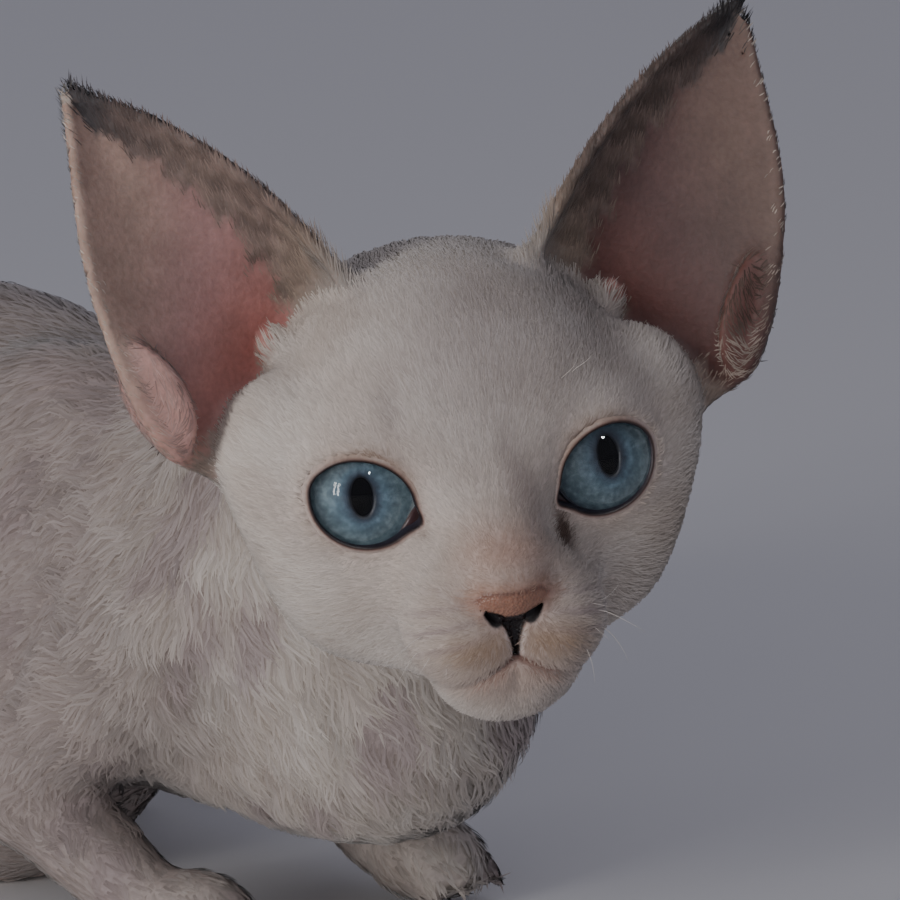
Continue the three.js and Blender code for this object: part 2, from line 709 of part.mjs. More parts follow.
const cutters = {};
for (const [name, side] of sides) {
  const bones = frontBones(side);
  const feet = hindBones(side);
  const front = casing([bones.shoulder, ARM_RADII[0]], [bones.elbow, ARM_RADII[1] + 2])
    .add(casing([bones.elbow, ARM_RADII[1]], [bones.wrist, FOREARM_RADII[1]], [bones.paw, FOREPAW[1]]));
  const hind = casing([feet.hip, THIGH_RADII[0]], [feet.knee, THIGH_RADII[1] + 2])
    .add(casing([feet.knee, SHANK_RADII[0] - 1], [feet.hock, SHANK_RADII[1]]))
    .add(casing([feet.hock, SHANK_RADII[1]], [feet.paw, HINDPAW[1]]));
  const inward = [[LEG_MIDLINE * side, 0, 0], [side, 0, 0]];
  cutters[`front_${name}`] = keptPast(front, ...inward, 0);
  cutters[`front_${name}_room`] = keptPast(grown(front, GAP), ...inward, -GAP);
  cutters[`hind_${name}`] = keptPast(hind, ...inward, 0);
  cutters[`hind_${name}_room`] = keptPast(grown(hind, GAP), ...inward, -GAP);
}

const withoutLimbs = (solid, ...names) => names.reduce(
  (rest, name) => rest.subtract(cutters[`${name}_room`]), solid,
);

function addTrunk() {
  const neck = coatedIn([-44, -72, 36], [38, 54, 120]);
  add("neck", keptPast(keptPast(neck, ...back(NAPE_CUT)), ...NECK_CUT));
  const chest = keptPast(coatedIn([-54, -56, FLOOR_MARGIN], [52, 78, 116]), ...back(NECK_CUT));
  const armless = withoutLimbs(chest, "front_left", "front_right");
  add("brisket", keptPast(armless, [0, BRISKET_END, 0], [0, -1, 0]));
  const ribs = keptPast(armless, [0, BRISKET_END, 0], [0, 1, 0]);
  add("ribs", keptPast(ribs, [0, CHEST_END, 0], [0, -1, 0]));
  const middle = coatedIn([-56, 46, FLOOR_MARGIN], [56, 137, 116]);
  const abdomen = keptPast(
    keptPast(middle, [0, CHEST_END, 0], [0, 1, 0]), [0, ABDOMEN_END, 0], [0, -1, 0],
  );
  add("abdomen", withoutLimbs(abdomen, "hind_left", "hind_right"));
  const rump = keptPast(
    coatedIn([-56, 105, FLOOR_MARGIN], [56, 200, 116]), [0, ABDOMEN_END, 0], [0, 1, 0],
  );
  const rumpCut = keptPast(rump, TAIL_CUTS[0][0], times(TAIL_CUTS[0][1], -1));
  add("rump", withoutLimbs(rumpCut, "hind_left", "hind_right"));
}

// Where the tail is cut, as a share of its length
const TAIL_SHARES = [0.1, 0.24, 0.36, 0.5, 0.74];
const TAIL_CUTS = TAIL_SHARES.map((t) => [
  TAIL_PATH.getPointAt(t).toArray(), TAIL_PATH.getTangentAt(t).toArray(),
]);

const TAIL_RINGS = 38;
const TAIL_SIDES = 8;

// The whole tail as rings of points around its middle line, closed by a point at each end
function tailNet() {
  const frames = TAIL_PATH.computeFrenetFrames(TAIL_RINGS);
  const places = [TAIL_PATH.getPointAt(0).toArray()];
  const faces = [];
  for (let ring = 0; ring <= TAIL_RINGS; ring += 1) {
    const t = ring / TAIL_RINGS;
    const centre = TAIL_PATH.getPointAt(t).toArray();
    const rounding = Math.sqrt(Math.max(1 - ((t - 0.96) / 0.05) ** 2, 0.1));
    const radius = tailRadius(t) * (t > 0.96 ? rounding : 1);
    for (let side = 0; side < TAIL_SIDES; side += 1) {
      const angle = (side / TAIL_SIDES) * 2 * Math.PI;
      const across = times(frames.normals[ring].toArray(), Math.cos(angle) * radius);
      const up = times(frames.binormals[ring].toArray(), Math.sin(angle) * radius);
      places.push(plus(centre, plus(across, up)));
    }
  }
  places.push(TAIL_PATH.getPointAt(1).toArray());
  const at = (ring, side) => 1 + ring * TAIL_SIDES + (side % TAIL_SIDES);
  for (let side = 0; side < TAIL_SIDES; side += 1) {
    faces.push(0, at(0, side + 1), at(0, side));
    faces.push(places.length - 1, at(TAIL_RINGS, side), at(TAIL_RINGS, side + 1));
    for (let ring = 0; ring < TAIL_RINGS; ring += 1) {
      faces.push(at(ring, side), at(ring, side + 1), at(ring + 1, side + 1));
      faces.push(at(ring, side), at(ring + 1, side + 1), at(ring + 1, side));
    }
  }
  return { places, faces };
}

function addTail() {
  const tail = keptPast(solidOfNet(tailNet()), [0, 0, 0], [0, 0, 1], 0);
  TAIL_CUTS.forEach((start, i) => {
    const end = TAIL_CUTS[i + 1];
    const piece = keptPast(tail, ...start);
    add(`tail_${i + 1}`, end ? keptPast(piece, end[0], times(end[1], -1)) : piece);
  });
}

// Cuts across the bent limbs, each facing the upper half
const ELBOW_CUT = [[0, 36, 25], [0, 0, 1]];
const KNEE_CUT = [[0, 90, 32], [0, -0.08, 1]];

function addLegs() {
  for (const [name, side] of sides) {
    const spans = (low, high) => (side > 0 ? [low, high] : [mirrored(high, -1), mirrored(low, -1)]);
    const boxOf = ([low, high]) => {
      const [a, b] = spans(low, high);
      return [[a[0], low[1], low[2]], [b[0], high[1], high[2]]];
    };
    const lead = side > 0 ? PAW_LEAD : 0;
    const front = cutters[`front_${name}`];
    const hind = cutters[`hind_${name}`];
    const wristCut = [[0, 15 - lead, 0], [0, -1, -0.35]];
    const ankleCut = [[0, 100, 15.5], [0, -0.1, -1]];
    const upper = coatedIn(...boxOf([[-8, -36, FLOOR_MARGIN], [60, 62, 98]]));
    const arm = keptPast(upper.intersect(front), ...ELBOW_CUT);
    add(`upper_arm_${name}`, keptPast(arm, ...back(NECK_CUT)));
    const lower = fleshIn(...boxOf([[-8, -36, FLOOR_MARGIN], [60, 62, 44]]), 7.5, flesh);
    const shin = keptPast(lower.intersect(front), ...back(wristCut));
    add(`forearm_${name}`, keptPast(shin, ...back(ELBOW_CUT)));
    const forepaw = fleshIn(...boxOf([[4, -36, -4], [46, 30, 30]]), 3, flesh);
    add(`forepaw_${name}`, keptPast(forepaw.intersect(front), ...wristCut));
    const upperLeg = coatedIn(...boxOf([[-8, 62, FLOOR_MARGIN], [62, 178, 98]]));
    add(`thigh_${name}`, keptPast(upperLeg.intersect(hind), ...KNEE_CUT));
    const low = fleshIn(...boxOf([[-8, 62, FLOOR_MARGIN], [62, 178, 50]]), 8, flesh);
    const leg = keptPast(low.intersect(hind), ...back(ankleCut));
    add(`shank_${name}`, keptPast(leg, ...back(KNEE_CUT)).simplify(HIDE_TOLERANCE / 2));
    const foot = fleshIn(...boxOf([[8, 68, -4], [56, 166, 26]]), 4.2, flesh);
    add(`hindpaw_${name}`, keptPast(foot.intersect(hind), ...ankleCut));
  }
}

// The head is meshed in its own frame and set in place by its matrix
const placed = (solid) => solid.transform([...HEAD.elements]);

// The opening between the lids, an almond with its outer corner raised
const LID_HALF_WIDTH = 7.5;
const LID_HALF_HEIGHT = 6.3;
const LID_SLANT = 24;
const EYE_LOOKS_OUT = 8; // degrees that each eye's axis turns outwards

function lidOpening(side) {
  const points = [];
  for (let step = 0; step < 24; step += 1) {
    const angle = (step / 24) * 2 * Math.PI;
    const narrowing = 1 - 0.14 * Math.abs(Math.cos(angle)) ** 3;
    points.push(new THREE.Vector2(
      LID_HALF_WIDTH * Math.cos(angle), LID_HALF_HEIGHT * Math.sin(angle) * narrowing,
    ));
  }
  const almond = new THREE.ExtrudeGeometry(new THREE.Shape(points), {
    depth: 16, bevelEnabled: false,
  });
  const turn = new THREE.Matrix4().makeTranslation(EYE_AT[0] * side, EYE_AT[1], EYE_AT[2])
    .multiply(new THREE.Matrix4().makeRotationZ(EYE_LOOKS_OUT * degrees * side))
    .multiply(new THREE.Matrix4().makeRotationX(90 * degrees))
    .multiply(new THREE.Matrix4().makeRotationZ(LID_SLANT * degrees * side));
  return solidOf(almond, turn);
}

// How far forward the face reaches at a place across and up
function faceAt(x, z) {
  let y = -30;
  while (headFlesh([x, y, z]) > 0.02 && y < 20) y += Math.max(headFlesh([x, y, z]) * 0.6, 0.05);
  return y;
}

function grooveAlong(points, radius) {
  const path = new THREE.CatmullRomCurve3(points.map(([x, z]) => new THREE.Vector3(x, faceAt(x, z), z)));
  const ring = new THREE.Shape(new THREE.Path().absarc(0, 0, radius, 0, 2 * Math.PI).getPoints(3));
  return solidOf(new THREE.ExtrudeGeometry(ring, {
    steps: points.length * 4, bevelEnabled: false, extrudePath: path,
  }));
}

const MOUTH_LINE = [
  [-12, -26.2], [-8.5, -26.6], [-4, -24.4], [0, -22.4], [4, -24.4], [8.5, -26.6], [12, -26.2],
];
const LIP_CLEFT = [[0, -22.6], [0, -20], [0, -17.5]];

// Nose leather: a rounded triangle, wide above and narrow where it meets the cleft of the lip
function noseCutter(off) {
  const shape = new THREE.Shape();
  shape.moveTo(0, -18.4 - off);
  shape.quadraticCurveTo(3.6 + off, -17.6 - off, 4.9 + off, -13.6);
  shape.quadraticCurveTo(5 + off, -11.4 + off, 2.6, -10.8 + off);
  shape.lineTo(-2.6, -10.8 + off);
  shape.quadraticCurveTo(-5 - off, -11.4 + off, -4.9 - off, -13.6);
  shape.quadraticCurveTo(-3.6 - off, -17.6 - off, 0, -18.4 - off);
  const block = new THREE.ExtrudeGeometry(shape, { depth: 14, bevelEnabled: false, curveSegments: 4 });
  const turn = new THREE.Matrix4().makeTranslation(0, -16.2 + off, 0)
    .multiply(new THREE.Matrix4().makeRotationX(90 * degrees));
  return solidOf(block, turn);
}

function nostril(side) {
  const shape = new THREE.SphereGeometry(1, 8, 6);
  const place = new THREE.Matrix4().makeTranslation(3.1 * side, -19.6, -15.6)
    .multiply(new THREE.Matrix4().makeRotationY(35 * degrees * side))
    .multiply(new THREE.Matrix4().makeScale(1.7, 2.4, 0.95));
  return solidOf(shape, place);
}

// An ear: a thin shell between an inner and an outer edge, bulging back and closing to a tip
const EAR_TIP = [50, 24, EAR_LENGTH];
const INNER_EDGE = [[8, 17, 15], [14, 14.5, 27], [24.5, 15.5, 41.5], [37, 19.5, 52], EAR_TIP];
const OUTER_EDGE = [[25, 18, 1], [37, 11.5, 3], [44.5, 7, 11.5], [50.5, 11, 32], EAR_TIP];
const EAR_BULGE = unit([-0.6, 1, 0]);
const EAR_DEPTH = 15;
const EAR_ROWS = 12;
const EAR_COLUMNS = 11;

function earPlace(curves, s, t) {
  const inner = curves[0].getPoint(t).toArray();
  const outer = curves[1].getPoint(t).toArray();
  const depth = EAR_DEPTH * (1 - t) ** 0.7 * Math.sin(Math.PI * s) ** 0.8;
  return plus(between(inner, outer, s), times(EAR_BULGE, depth));
}

function earShell() {
  const curves = [INNER_EDGE, OUTER_EDGE].map(
    (edge) => new THREE.CatmullRomCurve3(edge.map((p) => new THREE.Vector3(...p))),
  );
  const last = 0.97;
  const rows = EAR_ROWS + 1;
  const columns = EAR_COLUMNS + 1;
  const centre = [];
  for (let r = 0; r < rows; r += 1) {
    for (let c = 0; c < columns; c += 1) {
      centre.push(earPlace(curves, c / EAR_COLUMNS, (last * r) / EAR_ROWS));
    }
  }
  const at = (r, c) => centre[THREE.MathUtils.clamp(r, 0, EAR_ROWS) * columns
    + THREE.MathUtils.clamp(c, 0, EAR_COLUMNS)];
  const places = [];
  for (const face of [0.5, -0.5]) {
    for (let r = 0; r < rows; r += 1) {
      for (let c = 0; c < columns; c += 1) {
        const up = new THREE.Vector3(...minus(at(r + 1, c), at(r - 1, c)));
        const across = new THREE.Vector3(...minus(at(r, c + 1), at(r, c - 1)));
        const normal = across.cross(up).normalize().toArray();
        const thickness = 1.1 + 0.9 * (1 - r / EAR_ROWS);
        places.push(plus(at(r, c), times(normal, thickness * face)));
      }
    }
  }
  return { places, faces: shellFaces(rows, columns) };
}

// Front and back sheets of a shell, joined round its rim
function shellFaces(rows, columns) {
  const faces = [];
  const sheet = rows * columns;
  const front = (r, c) => r * columns + c;
  const square = (a, b, c, d) => faces.push(a, b, c, a, c, d);
  for (let r = 0; r < rows - 1; r += 1) {
    for (let c = 0; c < columns - 1; c += 1) {
      const ring = [front(r, c), front(r, c + 1), front(r + 1, c + 1), front(r + 1, c)];
      square(...ring);
      square(...ring.map((v) => v + sheet).reverse());
    }
  }
  const rim = [];
  for (let c = 0; c < columns - 1; c += 1) rim.push(front(0, c));
  for (let r = 0; r < rows - 1; r += 1) rim.push(front(r, columns - 1));
  for (let c = columns - 1; c > 0; c -= 1) rim.push(front(rows - 1, c));
  for (let r = rows - 1; r > 0; r -= 1) rim.push(front(r, 0));
  rim.forEach((v, i) => {
    const next = rim[(i + 1) % rim.length];
    square(next, v, v + sheet, next + sheet);
  });
  return faces;
}

function turnedRight(net, side) {
  if (side > 0) return net;
  const faces = [];
  for (let i = 0; i < net.faces.length; i += 3) {
    faces.push(net.faces[i + 2], net.faces[i + 1], net.faces[i]);
  }
  return { places: net.places.map((p) => mirrored(p, -1)), faces };
}

function addHead() {
  const inHead = (p) => flesh(moved(FROM_HEAD, p));
  const net = netOf(
    inHead, ruled(-42, 42, 3.4), ruled(-27, 60, 4.8, 2.8, -27, -2), ruled(-40, 36, 3.4), 3,
  );
  const whole = solidOfNet(net).simplify(HEAD_TOLERANCE);
  const skull = keptPast(whole, [0, 22, -26], [0, -0.826, 0.564]);
  const room = grown(whole, GAP);
  let head = skull;
  for (const [name, side] of sides) {
    const centre = mirrored(EYE_AT, side);
    add(`eye_${name}`, placed(ball(EYE_RADIUS, centre)), IRIS);
    head = head.subtract(ball(EYE_RADIUS + GAP, centre)).subtract(lidOpening(side));
    const shell = solidOfNet(turnedRight(earShell(), side));
    add(`ear_${name}`, placed(shell.subtract(room)), EAR_SKIN);
  }
  const nose = skull.intersect(noseCutter(0)).subtract(nostril(1)).subtract(nostril(-1));
  add("nose", placed(nose), NOSE_LEATHER);
  head = head.subtract(noseCutter(GAP)).subtract(nostril(1)).subtract(nostril(-1));
  head = head.subtract(grooveAlong(MOUTH_LINE, 0.8)).subtract(grooveAlong(LIP_CLEFT, 0.6));
  add("head", keptPast(placed(head), ...NECK_CUT));
}

addHead();
addTrunk();
addLegs();
addTail();

// The origin lies under the middle of the whole model, on the floor
const box = new THREE.Box3().setFromObject(group, true);
const middle = box.getCenter(new THREE.Vector3());
group.position.set(-middle.x, -middle.y, -box.min.z);

export default group;
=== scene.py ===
"""Still, life-size model of a Devon Rex kitten about eleven weeks old, lying low on its chest.

The kitten faces -Y and its left is +X. Its head is turned to its right and looks at the camera.
"""
import math

import bpy
import numpy as np
from mathutils import Matrix, Vector
from mathutils.bvhtree import BVHTree


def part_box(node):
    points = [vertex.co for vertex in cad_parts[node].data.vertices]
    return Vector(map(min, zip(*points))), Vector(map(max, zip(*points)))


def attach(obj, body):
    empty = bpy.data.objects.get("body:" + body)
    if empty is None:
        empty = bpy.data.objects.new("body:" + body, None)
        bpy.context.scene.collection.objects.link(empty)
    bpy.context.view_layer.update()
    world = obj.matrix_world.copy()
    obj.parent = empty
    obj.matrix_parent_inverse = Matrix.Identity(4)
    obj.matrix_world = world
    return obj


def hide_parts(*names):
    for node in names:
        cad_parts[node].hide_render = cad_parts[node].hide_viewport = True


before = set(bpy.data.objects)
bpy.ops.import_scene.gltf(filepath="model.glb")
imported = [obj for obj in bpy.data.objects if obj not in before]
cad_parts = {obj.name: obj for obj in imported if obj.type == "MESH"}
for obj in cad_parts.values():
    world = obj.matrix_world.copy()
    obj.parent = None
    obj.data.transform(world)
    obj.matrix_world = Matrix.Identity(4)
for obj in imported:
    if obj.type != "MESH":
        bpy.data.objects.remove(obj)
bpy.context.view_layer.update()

# Hide: the whole skin of the kitten, one closed surface from the ears to the tail's tip.
# Real skin is thin and loose. Here it is one smooth field of rounded masses, each in millimetres,
# meshed once, and it lies inside the coat's outline by the depth of the coat.

MM = 0.001
EYES_MID = np.array([-32.0, -65.0, 88.0])  # midway between the eyes
HEAD_TURN, HEAD_NOD, HEAD_TILT = (math.radians(a) for a in (-38, 4, -4.5))
EYE_APART = 17.0  # from the head's middle plane to an eye's middle
EYE_RADIUS = 8.4

# The part's frame is in metres. The masses are placed in millimetres, from an origin of their own.
eye_centres = [sum(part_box(f"eye_{side}"), Vector()) / 2 for side in ("left", "right")]
ORIGIN = np.array((eye_centres[0] + eye_centres[1]) / 2) / MM - EYES_MID


def in_row(places):
    """Metres in the part's frame from millimetres in the kitten's own."""
    return (np.asarray(places, float) + ORIGIN) * MM


def turn_about(axis, angle):
    """The matrix that turns about an axis of the frame."""
    return np.array(Matrix.Rotation(angle, 3, axis))


HEAD_AXES = turn_about("Z", HEAD_TURN) @ turn_about("X", HEAD_NOD) @ turn_about("Y", HEAD_TILT)


def to_head(p):
    """The head's own frame: origin midway between the eyes, +x the kitten's left, -y forward."""
    return np.tensordot(HEAD_AXES.T, p - EYES_MID.reshape((3,) + (1,) * (p.ndim - 1)), 1)


def from_head(p):
    """Back from the head's own frame."""
    p = np.asarray(p, float)
    return np.tensordot(HEAD_AXES, p, 1) + EYES_MID.reshape((3,) + (1,) * (p.ndim - 1))


def egg(p, centre, radii):
    """Distance to an ellipsoid, near enough to the true one at its surface."""
    x, y, z = ((p[i] - centre[i]) / radii[i] for i in range(3))
    scaled = np.sqrt(x * x + y * y + z * z)
    slope = np.sqrt((x / radii[0]) ** 2 + (y / radii[1]) ** 2 + (z / radii[2]) ** 2)
    return scaled * (scaled - 1) / np.maximum(slope, 1e-6)


def limb(p, start, start_radius, end, end_radius):
    """Distance to a round limb whose radius runs evenly from one end to the other."""
    start, end = np.asarray(start, p.dtype), np.asarray(end, p.dtype)
    along = end - start
    t = sum((p[i] - start[i]) * along[i] for i in range(3)) / float(along @ along)
    t = np.clip(t, 0, 1)
    off = [p[i] - start[i] - t * along[i] for i in range(3)]
    gone = np.sqrt(off[0] ** 2 + off[1] ** 2 + off[2] ** 2)
    return gone - start_radius - (end_radius - start_radius) * t


def blend(a, b, reach):
    """Smooth union: surfaces closer than reach melt into each other."""
    h = np.maximum(reach - np.abs(a - b), 0)
    return np.minimum(a, b) - h * h / (4 * reach)


def carve(a, b, reach):
    """a without b, its rim rounded over reach."""
    return -blend(-a, b, reach)


def mirrored(p):
    """Places on the left for places on either side."""
    return np.stack([np.abs(p[0]), p[1], p[2]])


def smooth_step(value, low, high):
    t = np.clip((value - low) / (high - low), 0, 1)
    return t * t * (3 - 2 * t)


def melted(d, q, masses):
    """A field joined by rows of masses: the kind, its sizes, and how far it melts into the rest."""
    for mass, sizes, reach in masses:
        d = blend(d, mass(q, *sizes), reach)
    return d


def slim_limb(p, *sizes):
    """A limb that is broader across than it is deep."""
    return limb(np.stack([p[0] * 0.76, p[1], p[2]]), *sizes)


SKULL = (0, 23, 6.5), (28.5, 30, 23)  # middle and radii
HEAD_MASSES = [
    (egg, ((0, 8, 9.5), (20, 17, 16.5)), 10),  # forehead
    (egg, ((22, 10, -3), (12, 13, 12.5)), 8),  # cheekbones
    (egg, ((17, 12, -14), (13.5, 16, 13.5)), 8),  # cheeks
    (egg, ((26.5, 10, 4), (9.5, 9, 12)), 5),  # temples under the ears
    (limb, ((0, 2, -14), 12, (0, -8, -19), 8), 6),  # muzzle
    (slim_limb, ((0, 0, 4), 7.5, (0, -12.6, -9), 5.5), 7),  # bridge of the nose
    (limb, ((11, 3, -11), 8, (6.5, -8, -16), 6), 6),  # sides of the muzzle
    (egg, ((15, 3, 7), (10, 8, 6.5)), 5),  # brows
    (limb, ((0, -4, -24.5), 9, (14, 14, -18.5), 11.5), 6),  # jaw
    (egg, ((0, -7.4, -28.4), (10.4, 7.6, 6.9)), 5),  # chin
    (egg, ((6.4, -11, -20.0), (8.1, 7.7, 6.9)), 7),  # whisker pads
    (egg, ((0, -15.6, -13.2), (5.9, 5.2, 4.9)), 2),  # nose
    (egg, ((EYE_APART, 0, 0), (EYE_RADIUS + 0.85,) * 3), 3)]  # lids over the balls


def head_outline(p):
    """The head with its short fur, in its own frame."""
    q = mirrored(p)
    return melted(egg(q, *SKULL), q, HEAD_MASSES)


# An ear: a thin shell between an inner and an outer edge, bulging back and closing to a tip
EAR_TIP = (50, 24, 58.5)
INNER_EDGE = [(8, 17, 15), (14, 14.5, 27), (24.5, 15.5, 41.5), (37, 19.5, 52), EAR_TIP]
OUTER_EDGE = [(25, 18, 1), (37, 11.5, 3), (44.5, 7, 11.5), (50.5, 11, 32), EAR_TIP]
EAR_BULGE = np.array([-0.6, 1, 0]) / math.hypot(0.6, 1)
EAR_DEPTH = 15
EAR_HALF_THICKNESS = (1.0, 0.7)  # at its root and at its tip
EAR_ROWS, EAR_COLUMNS = 60, 44
EAR_KNOB = (25.2, 18.6, 18.2), (1.7, 1.9, 2.0)  # knob of gristle on the opening's inner side
EAR_LOBE = (43.6, 8.6, 15.0)  # folded lobe low on the outer edge
EAR_LOBE_RADII = (8.6, 4.9, 2.0)
EAR_LOBE_AXES = np.array([[-0.338, -0.118, -0.934], [0.806, 0.475, -0.352], [0.485, -0.872, -0.065]])


def ear_lobe(q):
    """Distance to the flat oval lobe: long, broad and thin along its own axes."""
    off = q - np.array(EAR_LOBE, q.dtype).reshape((3,) + (1,) * (q.ndim - 1))
    return egg(np.tensordot(EAR_LOBE_AXES.astype(q.dtype), off, 1), (0, 0, 0), EAR_LOBE_RADII)


def through(points, t):
    """A smooth curve through evenly counted points, for an array of shares t of the way."""
    points = np.asarray(points, float)
    ends = np.vstack([2 * points[0] - points[1], points, 2 * points[-1] - points[-2]])
    spot = np.clip(np.asarray(t) * (len(points) - 1), 0, len(points) - 1 - 1e-9)
    i = spot.astype(int)
    u = (spot - i)[..., None]
    a, b, c, d = (ends[i + k] for k in range(4))
    return 0.5 * (2 * b + (c - a) * u + (2 * a - 5 * b + 4 * c - d) * u**2
                  + (3 * b - a - 3 * c + d) * u**3)


def ear_sheet():
    """Middle sheet of the left ear as rows of places, with each place's share across and up."""
    t, s = np.meshgrid(np.linspace(0, 1, EAR_ROWS + 1), np.linspace(0, 1, EAR_COLUMNS + 1),
                       indexing="ij")
    inner, outer = through(INNER_EDGE, t), through(OUTER_EDGE, t)
    depth = EAR_DEPTH * (1 - t) ** 0.7 * np.sin(np.pi * s) ** 0.8
    return inner + (outer - inner) * s[..., None] + EAR_BULGE * depth[..., None], s, t


def ear_tree():
    """The left ear's sheet, ready to be asked for the spot nearest to a place."""
    places, s, t = ear_sheet()
    columns = EAR_COLUMNS + 1
    faces = []
    for r in range(EAR_ROWS):
        for c in range(EAR_COLUMNS):
            v = r * columns + c
            faces.append((v, v + 1, v + columns + 1, v + columns))
    return BVHTree.FromPolygons([tuple(p) for p in places.reshape(-1, 3)], faces)


EAR_TREE = ear_tree()
EAR_BOX = (np.array([4.0, -12.0, -6.0]), np.array([60.0, 42.0, 64.0]))
EAR_FAR = 6.0


def ear_outline(p):
    """Distance to the ears' shells, in the head's frame, for places close to them."""
    q = mirrored(p).reshape(3, -1)
    d = np.full(q.shape[1], EAR_FAR, q.dtype)
    near = np.all((q.T > EAR_BOX[0]) & (q.T < EAR_BOX[1]), 1)
    for i in np.flatnonzero(near):
        spot = EAR_TREE.find_nearest(q[:, i], EAR_FAR)
        if spot[0] is not None:
            up = (spot[2] // EAR_COLUMNS) / EAR_ROWS
            thick, thin = EAR_HALF_THICKNESS
            d[i] = spot[3] - (thin + (thick - thin) * (1 - up))
    d = blend(d, egg(q, *EAR_KNOB), 1.2)
    d = blend(d, ear_lobe(q), 2.8)
    return d.reshape(p.shape[1:])


HEAD_COAT = 1.0  # depth of the fur on the head, and round the eyes, nose and lips
FACE_COAT = 0.25


def head_coat_depth(p):
    """Depth of the fur on the head, thin round the eyes and on the snout."""
    q = mirrored(p)
    eye = np.sqrt((q[0] - EYE_APART) ** 2 + q[1] ** 2 + q[2] ** 2) - EYE_RADIUS - 2
    snout = np.sqrt(q[0] ** 2 + (q[1] + 17) ** 2 + (q[2] + 17) ** 2) - 8
    return FACE_COAT + (HEAD_COAT - FACE_COAT) * smooth_step(np.minimum(eye, snout), 0, 12)


# Trunk and limbs
TRUNK_COAT = 2.2
RIBS = (0, 20, 57), (31, 50, 38.5)
TRUNK_MASSES = [
    (egg, ((0, -12, 49), (27, 31, 33)), 14),  # brisket
    (egg, ((0, 84, 38.8), (38, 48, 46)), 16),  # belly
    (egg, ((0, 82, 71.5), (26.5, 60, 32)), 14),  # back
    (egg, ((0, 132, 56), (32, 33, 42)), 14),  # rump
    (egg, ((15, 38, 79), (12, 24, 18)), 8)]  # shoulder blades
NECK = (0, 4, 71), 28, (-8.4, -35, 84), 21.5


def trunk_outline(p):
    """The trunk and neck with their fur."""
    q = mirrored(p)
    return blend(melted(egg(q, *RIBS), q, TRUNK_MASSES), limb(p, *NECK), 14)


TOE_SPACING, TOE_STAGGER, TOE_HEIGHT = 4.4, 1.6, 5
TOE_RADII = (2.9, 5.2, 4.6)


def paw(p, centre, radii, reach):
    """A rounded pad with four toes in front."""
    d = egg(p, centre, radii)
    for toe in range(4):
        across = (toe - 1.5) * TOE_SPACING
        forward = reach - abs(toe - 1.5) * TOE_STAGGER
        middle = centre[0] + across, centre[1] - forward, TOE_HEIGHT
        d = blend(d, egg(p, middle, TOE_RADII), 1.2)
    return d


PAW_LEAD = 6  # the left forepaw stands further forward


def front_limb(p, side):
    """The upper arm, and the forearm with its paw."""
    lead = PAW_LEAD if side > 0 else 0
    elbow, wrist = (31 * side, 36, 27), (25 * side, 16 - lead, 10)
    upper = limb(p, (17 * side, 3, 62), 16 - TRUNK_COAT, elbow, 9)
    lower = limb(p, elbow, 10, wrist, 7.8)
    return upper, blend(lower, paw(p, (24 * side, 5 - lead, 8), (9.6, 12, 8.6), 9), 3)


def hind_limb(p, side):
    """The thigh, and the shank with its long foot."""
    knee, hock, foot = (34 * side, 90, 37), (32 * side, 149, 14), (34 * side, 90, 7.2)
    upper = limb(p, (22 * side, 134, 58), 23 - TRUNK_COAT, knee, 14)
    lower = blend(limb(p, knee, 12, hock, 7.5), limb(p, hock, 7.5, (34 * side, 100, 7.2), 7), 3)
    return upper, blend(lower, paw(p, foot, (9, 12, 8.2), 9), 3)


TAIL_PATH = [(0, 152, 58), (3, 172, 42), (10, 186, 21), (26, 190, 7.4), (45, 179, 4.6),
             (58, 158, 4.3), (64, 134, 4.1), (65, 110, 3.8), (62, 88, 3.6), (56, 70, 3.4)]
TAIL_STEPS = 40
TAIL_POINTS = through(TAIL_PATH, np.linspace(0, 1, TAIL_STEPS + 1))


TAIL_THICK, TAIL_TAPER = 10, 1.6  # radius at the root, and how much goes evenly towards the tip
TAIL_BASE, TAIL_BASE_TAPER = 0.35, 4.6  # share that is the base, and how much more goes along it


def tail_radius(t):
    return TAIL_THICK - TAIL_BASE_TAPER * min(t / TAIL_BASE, 1) - TAIL_TAPER * t


def tail_outline(p):
    """The tail with its fur, as a row of short tapering limbs."""
    d = np.full(p.shape[1:], 40.0, p.dtype)
    for i in range(TAIL_STEPS):
        ends = tail_radius(i / TAIL_STEPS), tail_radius((i + 1) / TAIL_STEPS)
        d = np.minimum(d, limb(p, TAIL_POINTS[i], ends[0], TAIL_POINTS[i + 1], ends[1]))
    return d


LEG_COAT = 1.2
TAIL_COAT = 1.0
FLOOR_SKIN = 0.4  # the skin's flat side under the body lies this far over the floor


def limbs_hide(d, p):
    """The trunk's field d with the four limbs, each joined on its own side only."""
    for side in (1, -1):
        upper_arm, forearm = front_limb(p, side)
        thigh, shank = hind_limb(p, side)
        on_side = p[0] * side > -2
        d = np.where(on_side, blend(d, upper_arm, 8), d)
        d = np.where(on_side, blend(d, thigh, 13), d)
        d = np.where(on_side, blend(d, forearm + LEG_COAT, 3), d)
        d = np.where(on_side, blend(d, shank + LEG_COAT, 3), d)
    return d


# Nostrils, the groove under the nose and the mouth's line, cut into the skin of the muzzle
NOSTRIL = ((4.8, -17.6, -14.2), 0.4, (2.4, -18.8, -16.6), 0.95)
MOUTH_LINE = [(-12.5, -26.6), (-8.5, -27.0), (-4.2, -25.2), (0, -23.0), (4.2, -25.2), (8.5, -27.0),
              (12.5, -26.6)]
MOUTH_HALF_WIDTH, MOUTH_RIM = 0.2, 1.1
MOUTH_DEPTH, MOUTH_SHALLOWER = 0.62, 0.085  # in the middle, and less by this share of the way out
GROOVE_MIDDLE, GROOVE_HALF_LENGTH = -19.9, 2.7
GROOVE_DEPTH, GROOVE_RIM, NOSTRIL_RIM = 0.8, 0.6, 0.5
MUZZLE_BACK = -6  # the nose and the mouth are cut only in front of this


